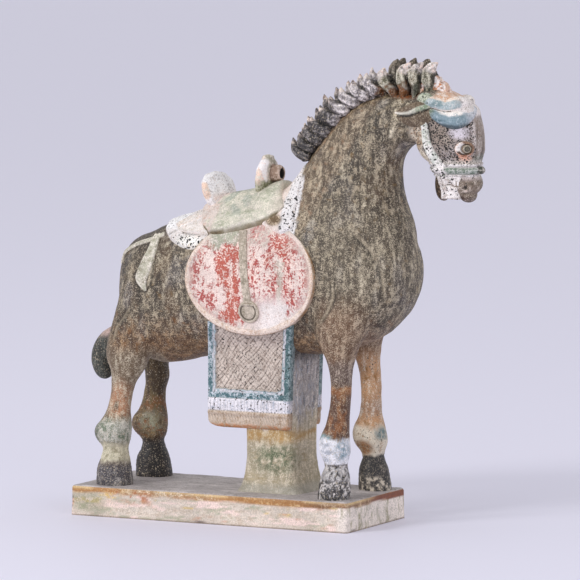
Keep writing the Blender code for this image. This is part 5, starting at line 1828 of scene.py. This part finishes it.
def fold_coat(obj):
    at = figure_units(vertices(obj))
    coat = Coat(at, (236, 228, 220), (214, 200, 184), 0.36, gloss=0.15)
    coat.over(blotches(at, 9, 142, 0.1, 0.5, (3, 1, 1)), (240, 222, 214), loss=0.3)
    return coat


def ear_coat(obj):
    """Brown below its rim, and in the hollow above it a pale green glaze."""
    at, x, _, z = measured(obj)
    rim_x, _, rim_z = np.array(EAR_RIM)[::-1].T
    above = z - np.interp(x, rim_x, rim_z)
    coat = Coat(at, (92, 76, 60), (150, 134, 112), 0.36, gloss=0.4)
    ribbon = within(above, 0.3, 2.2 + 1.8 * rise(x, 150, 164), 0.4)
    coat.over(ribbon, (206, 204, 190), (230, 222, 210), 0.44)
    coat.over(ribbon * rise(x, 156, 164), (132, 150, 124), PALE_GREEN, 0.48)
    # Painted shade: a dark line in the groove just under the rim of the hollow
    coat.over(within(above, -1.5, 0.2, 0.4), SOOT_AND_SHADE, BROWN_GLAZE, 0.25)
    return coat


# Paint, what is under it, loss, specks, gloss, the blotches' seed and their tint
STIRRUP_COAT = ((172, 160, 142), (205, 192, 175), 0.43, 0.0, 0.3, 211, (147, 137, 117))
CRUPPER_COAT = ((186, 182, 162), (222, 214, 200), 0.42, 0.0, 0.3, 212, (150, 142, 120))
KNOT_COAT = (GREEN_GLAZE, PALE_GREEN, 0.5, 0.45, 0.4, 215, PALE_TEAL)
CHEEK_STRAP_COAT = ((242, 237, 231), (162, 164, 150), 0.30, 0.50, 0.3, 213, (208, 212, 200))


def banded(obj, paint, under, loss, specks, gloss, seed, tint):
    """A coat with another tint in blotches."""
    at = figure_units(vertices(obj))
    coat = Coat(at, paint, under, loss, specks, gloss)
    coat.over(blotches(at, 10, seed, 0.0, 0.6), tint)
    return coat


def blanket_coat(obj):
    at, x, _, z = measured(obj)
    coat = Coat(at, (228, 222, 218), TAN_SLIP, 0.30, specks=0.2, gloss=0.15)
    coat.over(blotches(at, 14, 141, 0.2, 0.7) * 0.7, (232, 216, 206), loss=0.34)
    coat.over(rise(-x, 26, 36) * rise(z, 195, 200), (244, 242, 240), (214, 210, 200), loss=0.22, specks=0.35)
    lobe = spots(at, (-22, 35, 187), (16, 10, 7))
    coat.over(lobe, (238, 235, 228), (214, 200, 176), loss=0.24, specks=0.66)
    # Painted shade along the creases where the folds meet
    creased = [line_marks(at, path, 0.8, 24) for path in (UPPER_CREASE, LOWER_CREASE)]
    coat.shade(1 - 0.6 * np.maximum(*creased))
    slanted = x + 0.10 * (z - 200)
    strip = rise(slanted, 54.0, 56.0)
    coat.over(strip, CLEAN_WHITE, loss=0.2, specks=0.5)
    coat.over(rise(x, 40, 44) * (1 - strip), (236, 218, 206), (240, 228, 220), 0.40, specks=0.0)
    # Painted shadow: dark brown where the blanket lies under the front of the skirt's hem
    hollow = spots(at, (49, 33, 208), (7, 9, 4.5), 0.3)
    coat.over(hollow, (112, 92, 68), (196, 176, 150), 0.40, specks=0.0)
    coat.over(rise(slanted, 66.5, 68) * rise(z, 214, 222), BISQUE, PALE_SLIP, 0.4, specks=0.0)
    return coat


def skirt_coat(obj):
    at, x, y, z = measured(obj)
    coat = Coat(at, (206, 203, 184), (226, 218, 202), 0.42, gloss=0.3)
    coat.over(blotches(at, 16, 151, 0.1, 0.6, (2, 1, 1)) * 0.7, (170, 174, 148), (206, 204, 186), 0.42)
    seat = within(x, -6, 24, 6) * rise(z, 207, 214)
    coat.over(seat * clouds(at, 14, 153, -0.3, 0.5) * 0.7, (146, 158, 144), (190, 192, 178), 0.42)
    craze = np.abs(ragged(at, 9, 154, (2, 1, 1)))
    coat.over(fall(craze, 0.02, 0.07) * 0.5, (134, 126, 98))
    coat.over(blotches(at, 12, 152, 0.3, 0.7), (210, 202, 190))
    coat.over(
        rise(-x, -1, 5) * rise(ragged(at, 16, 155) - x / 14, 0.0, 0.5), (226, 212, 202), (214, 188, 172), 0.36
    )
    rows = np.array(SKIRT_ROWS)
    hem = np.interp(x, rows[:, 0] + rows[:, 2], rows[:, 1])
    hang = np.degrees(np.arctan2(np.abs(y), z - BODY_AXIS))
    coat.over(rise(x, 40, 50), (214, 206, 188), (232, 220, 206), 0.42)
    # Painted shade: dark olive along the hem's edge, as under its overhang
    coat.over(rise(hang - hem, -1.0, -0.2), (126, 112, 84), (96, 84, 66), 0.3)
    return coat


def cantle_coat(obj):
    at, x, y, z = measured(obj)
    coat = Coat(at, (246, 243, 242), (206, 196, 190), 0.30, gloss=0.3)
    side = np.abs(y) + waves(at, 7, 164) * 0.8
    coat.over(rise(side, 20, 22), (244, 212, 190), PALE_SLIP, 0.4)
    craze = np.abs(ragged(at, 8, 166))
    coat.over(fall(craze, 0.02, 0.08) * 0.6, (146, 138, 132))
    # Painted shadow: dark olive round the foot, where the cantle meets the skirt
    coat.over(fall(z + 0.2 * np.abs(y), 207, 211), (120, 108, 84), (190, 180, 156), 0.3)
    coat.over(
        rise(x + 9 * (z - 206) / 33 + waves(at, 8, 165) * 2, -6, -3) * fall(z, 218, 228), (236, 214, 202)
    )
    coat.over(fall(z + waves(at, 8, 161), 209, 214), (172, 170, 138), (226, 216, 200), 0.45)
    return coat


def pommel_coat(obj):
    at, x, y, z = measured(obj)
    coat = Coat(at, (158, 152, 130), (222, 212, 200), 0.44, gloss=0.3)
    plate = rise(np.abs(y) + waves(at, 6, 162), 4, 7) * rise(z, 231, 235) * fall(x, 30.5, 31.5)
    coat.over(plate, (248, 242, 240), PINK_BISQUE, 0.24)
    coat.over(plate * rise(np.abs(y), 14.2, 16) * fall(z, 243, 247), (244, 212, 192), PALE_SLIP, 0.4)
    coat.over(fall(z + waves(at, 6, 163) * 2, 233, 237), (124, 124, 94), (192, 188, 164), 0.44)
    coat.over(rise(x, 31, 34) * fall(z, 232, 236), (226, 206, 194), (240, 226, 216), 0.4)
    hole = np.hypot(y, z - 241)
    coat.over(rise(x, 29, 30) * within(hole, 3.6, 7.0, 0.3), (142, 118, 100), (214, 192, 176), 0.40)
    # Painted shade: near black inside the boss's hole
    coat.over(rise(x, 29, 30) * fall(hole, 3.6, 4.4), SOOT_AND_SHADE, (60, 46, 38), 0.2, gloss=0.0)
    return coat


def mane_coat(obj, combing):
    at, x, y, _ = measured(obj)
    up, furrow, arcs = combing.T
    coat = Coat(at, (84, 78, 78), (190, 182, 182), 0.40, gloss=0.35)
    coat.over(clouds(at, 9, 171, 0.0, 0.6), (112, 104, 108), (212, 206, 204), loss=0.56)
    coat.over(clouds(at, 7, 179, 0.3, 0.8), (62, 56, 54), loss=0.3)
    coat.over(fall(x, 76, 96) * 0.9, (46, 43, 44), (142, 136, 134), 0.27)
    coat.over(within(x, 90, 124, 6) * 0.75, (110, 103, 106), (226, 218, 216), 0.50)
    coat.over(rise(up, 0.70, 0.9) * blotches(at, 7, 172, -0.2, 0.3), (244, 224, 212), PALE_SLIP, 0.36)
    coat.over(rise(up, 0.8, 0.95) * blotches(at, 6, 176, 0.2, 0.5), (66, 54, 46), BISQUE, 0.4)
    poll = rise(x + waves(at, 12, 173) * 4, 119, 126)
    low = fall(up + waves(at, 7, 177) * 0.14, 0.22, 0.42)
    coat.over(poll * within(up, 0.3, 0.75, 0.1), (92, 88, 68), (196, 190, 172), 0.44)
    coat.over(poll * low * fall(x, 148, 155), (134, 86, 48), (62, 50, 40), 0.42)
    coat.over(poll * low * rise(x, 148, 155), (58, 58, 46), (150, 150, 130), 0.36)
    near = fall(y, -2, 1)
    coat.over(
        poll * near * rise(up, 0.62, 0.8) * blotches(at, 8, 178, -0.4, 0.1),
        (244, 236, 230), PINK_BISQUE, 0.26,
    )
    coat.over(poll * (1 - near) * rise(up, 0.6, 0.8), (66, 58, 48), (150, 138, 122), 0.3)
    # Painted light and shade along the combed arcs, and painted shade in the furrows between the locks
    coat.shade(1 + 0.16 * arcs * fall(up, 0.85, 1.0))
    coat.shade(1 - 0.85 * np.clip(furrow, 0, 1))
    return coat


def forelock_coat(obj, lower):
    at = figure_units(vertices(obj))
    along, _ = loft_places(obj, LOBE_RINGS, LOBE_SIDES)
    order = (along * (LOBE_RINGS - 1)).round().astype(int)
    middles = np.bincount(order, at[:, 2]) / np.bincount(order)
    above = at[:, 2] - middles[order] + waves(at, 6, 181) * 0.4
    if lower:
        coat = Coat(at, (128, 148, 156), (172, 186, 192), 0.34, gloss=0.5)
        coat.over(clouds(at, 6, 228, 0.1, 0.6, (4, 1, 1)), (96, 120, 128), loss=0.36)
        coat.over(fall(above, -4.5, -2.5), (84, 98, 104), (130, 138, 138), 0.3)
        coat.over(rise(above, 2.4, 4.0), (246, 238, 230), PALE_TEAL, 0.22)
        coat.over(rise(along + 0.02 * waves(at, 6, 182), 0.66, 0.80), (206, 208, 212), (158, 160, 166), 0.38)
    else:
        coat = Coat(at, (164, 180, 182), (200, 204, 202), 0.36, gloss=0.5)
        coat.over(clouds(at, 6, 229, 0.1, 0.6, (4, 1, 1)), (128, 148, 150), loss=0.36)
        coat.over(rise(above, 2.6, 3.6), (240, 226, 212), (214, 176, 146), 0.34)
        coat.over(fall(above, -3.6, -2.6), WARM_WHITE, PINK_BISQUE, 0.25)
        coat.over(rise(along + 0.02 * waves(at, 6, 183), 0.68, 0.78), WARM_WHITE, GREY_SLIP, 0.26)
    coat.over(fall(along, 0.10, 0.24), GREEN_GLAZE, PALE_GREEN, 0.5, specks=0.3)
    return coat


def stub_coat(obj):
    at, x, _, z = measured(obj)
    coat = Coat(at, (248, 240, 236), (230, 196, 170), 0.28, gloss=0.1)
    coat.over(blotches(at, 9, 191, -0.1, 0.3) * fall(x, 174, 184), (198, 128, 78), (234, 206, 180), 0.38)
    coat.over(rise(-ragged(at, 7, 230), 0.35, 0.6) * fall(x, 174, 184), (150, 88, 46), loss=0.3)
    coat.over(fall(z - 0.4 * (180 - x), 296, 299), (206, 150, 110), PALE_SLIP, 0.4)
    coat.over(rise(x, 178, 184), (222, 212, 204), (190, 166, 146), 0.36)
    return coat


def teeth_coat(obj):
    at, x, _, z = measured(obj)
    coat = Coat(at, (242, 235, 230), (194, 180, 170), 0.32, specks=0.35, gloss=0.4)
    cuts = rise(hollows(obj, 1), 0.2, 0.8)
    coat.over(cuts * 0.8, (150, 122, 110), (206, 180, 168), 0.4)
    coat.over(blotches(at, 6, 231, 0.3, 0.6) * rise(z, 236, 238), (206, 206, 196), loss=0.36, specks=0.8)
    coat.over(fall(x + waves(at, 5, 203) * 0.8, 169.6, 171.4), (104, 80, 66), CREAM, 0.34)
    return coat


def noseband_coat(obj):
    """Green at the front and white with dark dots at the back, with a dark knob."""
    at, x, _, z = measured(obj)
    coat = Coat(at, (112, 127, 111), (194, 196, 188), 0.42, gloss=0.4)
    coat.over(1 - within(z, 245.8, 250.6, 0.4), (238, 232, 228), (160, 150, 144), 0.32, specks=0.2)
    coat.over(fall(x + waves(at, 5, 227), 179, 184), (240, 234, 230), (150, 152, 142), 0.32, specks=0.7)
    coat.over(spot(at, (204.4, 3.4, 248.2), (4.2, 4.4, 4.2)), (70, 72, 62), (190, 184, 176), 0.34)
    return coat


def eye_coat(obj):
    """White behind the ball, a dark line round it and orange below the lid."""
    at = figure_units(vertices(obj))
    along, angle = loft_places(obj, EYE_RINGS, EYE_SIDES)
    behind = np.sin(angle)
    coat = Coat(at, (178, 146, 118), (120, 94, 78), 0.40, gloss=0.4)
    coat.over(fall(along, 0.16, 0.3), (110, 94, 84), (190, 178, 166), 0.4)
    coat.over(within(along, 0.28, 0.60, 0.04) * rise(behind, 0.0, 0.5), (244, 238, 232), PINK_BISQUE, 0.2)
    coat.over(
        within(along, 0.1, 0.42, 0.05) * rise(-np.cos(angle), 0.4, 0.8), (210, 144, 108), PINK_BISQUE, 0.35
    )
    coat.over(
        within(along, 0.36, 0.50, 0.03) * rise(-np.cos(angle), 0.2, 0.6), (70, 50, 40), BROWN_GLAZE, 0.3
    )
    coat.over(within(along, 0.54, 0.66, 0.02) * (1 - rise(behind, 0.2, 0.7) * 0.7), SOOT_AND_SHADE, LINE_BROWN, 0.35)
    coat.over(within(along, 0.08, 0.2, 0.03) * rise(behind, 0.4, 0.8), SOOT_AND_SHADE, LINE_BROWN, 0.3)
    coat.over(rise(along, 0.66, 0.7), (96, 90, 74), (176, 168, 150), 0.38, gloss=0.6)
    coat.over(within(along, 0.76, 0.82, 0.02), (206, 196, 178), (140, 128, 112), 0.3)
    coat.over(within(along, 0.84, 0.90, 0.02), (52, 48, 42), (90, 80, 70), 0.3)
    return coat


# Camera, floor and light
def aimed(name, data, where, view):
    """An object of the studio that stands somewhere and looks along a view."""
    obj = bpy.data.objects.new(name, data)
    bpy.context.scene.collection.objects.link(obj)
    obj.location = where
    obj.rotation_mode = "QUATERNION"
    obj.rotation_quaternion = view.to_track_quat("-Z", "Y")
    return obj


def studio():
    target = Vector((0.0450, 0.0, 0.1760))
    distance, azimuth, elevation = 4.2, math.radians(26.9), math.radians(5.36)
    level = math.cos(elevation)
    back = Vector((math.sin(azimuth) * level, -math.cos(azimuth) * level, math.sin(elevation)))
    camera = aimed("camera", bpy.data.cameras.new("camera"), target + back * distance, -back)
    camera.data.sensor_width = 36.0
    camera.data.lens = 343.0
    camera.data.clip_end = 100.0
    bpy.context.scene.camera = camera

    def grid(bm):
        bmesh.ops.create_grid(bm, x_segments=1, y_segments=1, size=40.0)

    floor = mesh_object("floor", grid)
    material = bpy.data.materials.new("floor")
    material.use_nodes = True
    shader = material.node_tree.nodes["Principled BSDF"]
    shader.inputs["Base Color"].default_value = (*linear((236, 234, 248)), 1.0)
    shader.inputs["Roughness"].default_value = 0.6
    shader.inputs["Specular IOR Level"].default_value = 0.2
    floor.data.materials.append(material)

    world = bpy.data.worlds.new("studio")
    world.use_nodes = True
    background = world.node_tree.nodes["Background"]
    background.inputs["Color"].default_value = (0.95, 0.95, 1.0, 1.0)
    background.inputs["Strength"].default_value = 0.74
    bpy.context.scene.world = world
    bpy.context.scene.view_settings.view_transform = "Standard"

    # Name, place, size, power
    lamps = [
        ("key", (-1.4, -2.7, 1.6), 1.0, 42.0),
        ("fill", (2.6, -1.8, 0.9), 1.2, 10.0),
    ]
    for name, where, size, power in lamps:
        lamp = bpy.data.lights.new(name, "AREA")
        lamp.shape = "DISK"
        lamp.size = size
        lamp.energy = power
        aimed(name, lamp, where, target - Vector(where))


def main():
    studio()
    body_glaze = pottery(
        "body_glaze", 0.0008, 0.0042, 0.0034, softness=0.12, relief=0.5, shares=(0.52, 0.24, 0.24), flecks=0.8
    )
    saddle_paint = pottery("saddle_paint", 0.0013, 0.0040, 0.0036, softness=0.10)
    slab_slip = pottery("slab_slip", 0.0012, 0.0050, 0.0036, run_axis=0)
    flaking = pottery("flaking_paint", 0.0013, 0.0036, 0.0026, softness=0.06, relief=0.5)

    horse = figure()
    skin = skin_of(horse)
    finish(horse, figure_coat, body_glaze)
    finish(slab(), slab_coat, slab_slip)
    for piece in (pillar(), rug_block()):
        finish(piece, pillar_coat, body_glaze)
    finish(blanket(skin), blanket_coat, saddle_paint)
    finish(skirt(skin), skirt_coat, saddle_paint)
    finish(cantle(), cantle_coat, saddle_paint)
    finish(pommel(), pommel_coat, saddle_paint)
    finish(forelock_stub(), stub_coat, saddle_paint)
    hair, combing = mane()
    finish(hair, mane_coat, body_glaze, combing)
    finish(noseband(), noseband_coat, saddle_paint)
    finish(teeth(), teeth_coat, saddle_paint)
    for side in (-1, 1):
        finish(rug_relief(side), rug_coat, saddle_paint)
        finish(flap(side), flap_coat, flaking, side, dirt_and_shade=0.12)
        finish(stirrup(side), banded, saddle_paint, *STIRRUP_COAT)
        for piece in crupper(skin, side):
            finish(piece, banded, saddle_paint, *CRUPPER_COAT)
        for piece in folds(skin, side):
            finish(piece, fold_coat, saddle_paint)
        finish(knot(side), banded, saddle_paint, *KNOT_COAT)
        finish(cheek_strap(skin, side), banded, saddle_paint, *CHEEK_STRAP_COAT)
        finish(eye(skin, side), eye_coat, saddle_paint)
        for lower, piece in enumerate(forelock(side)):
            finish(piece, forelock_coat, saddle_paint, lower)
        finish(ear(side), ear_coat, body_glaze)


main()
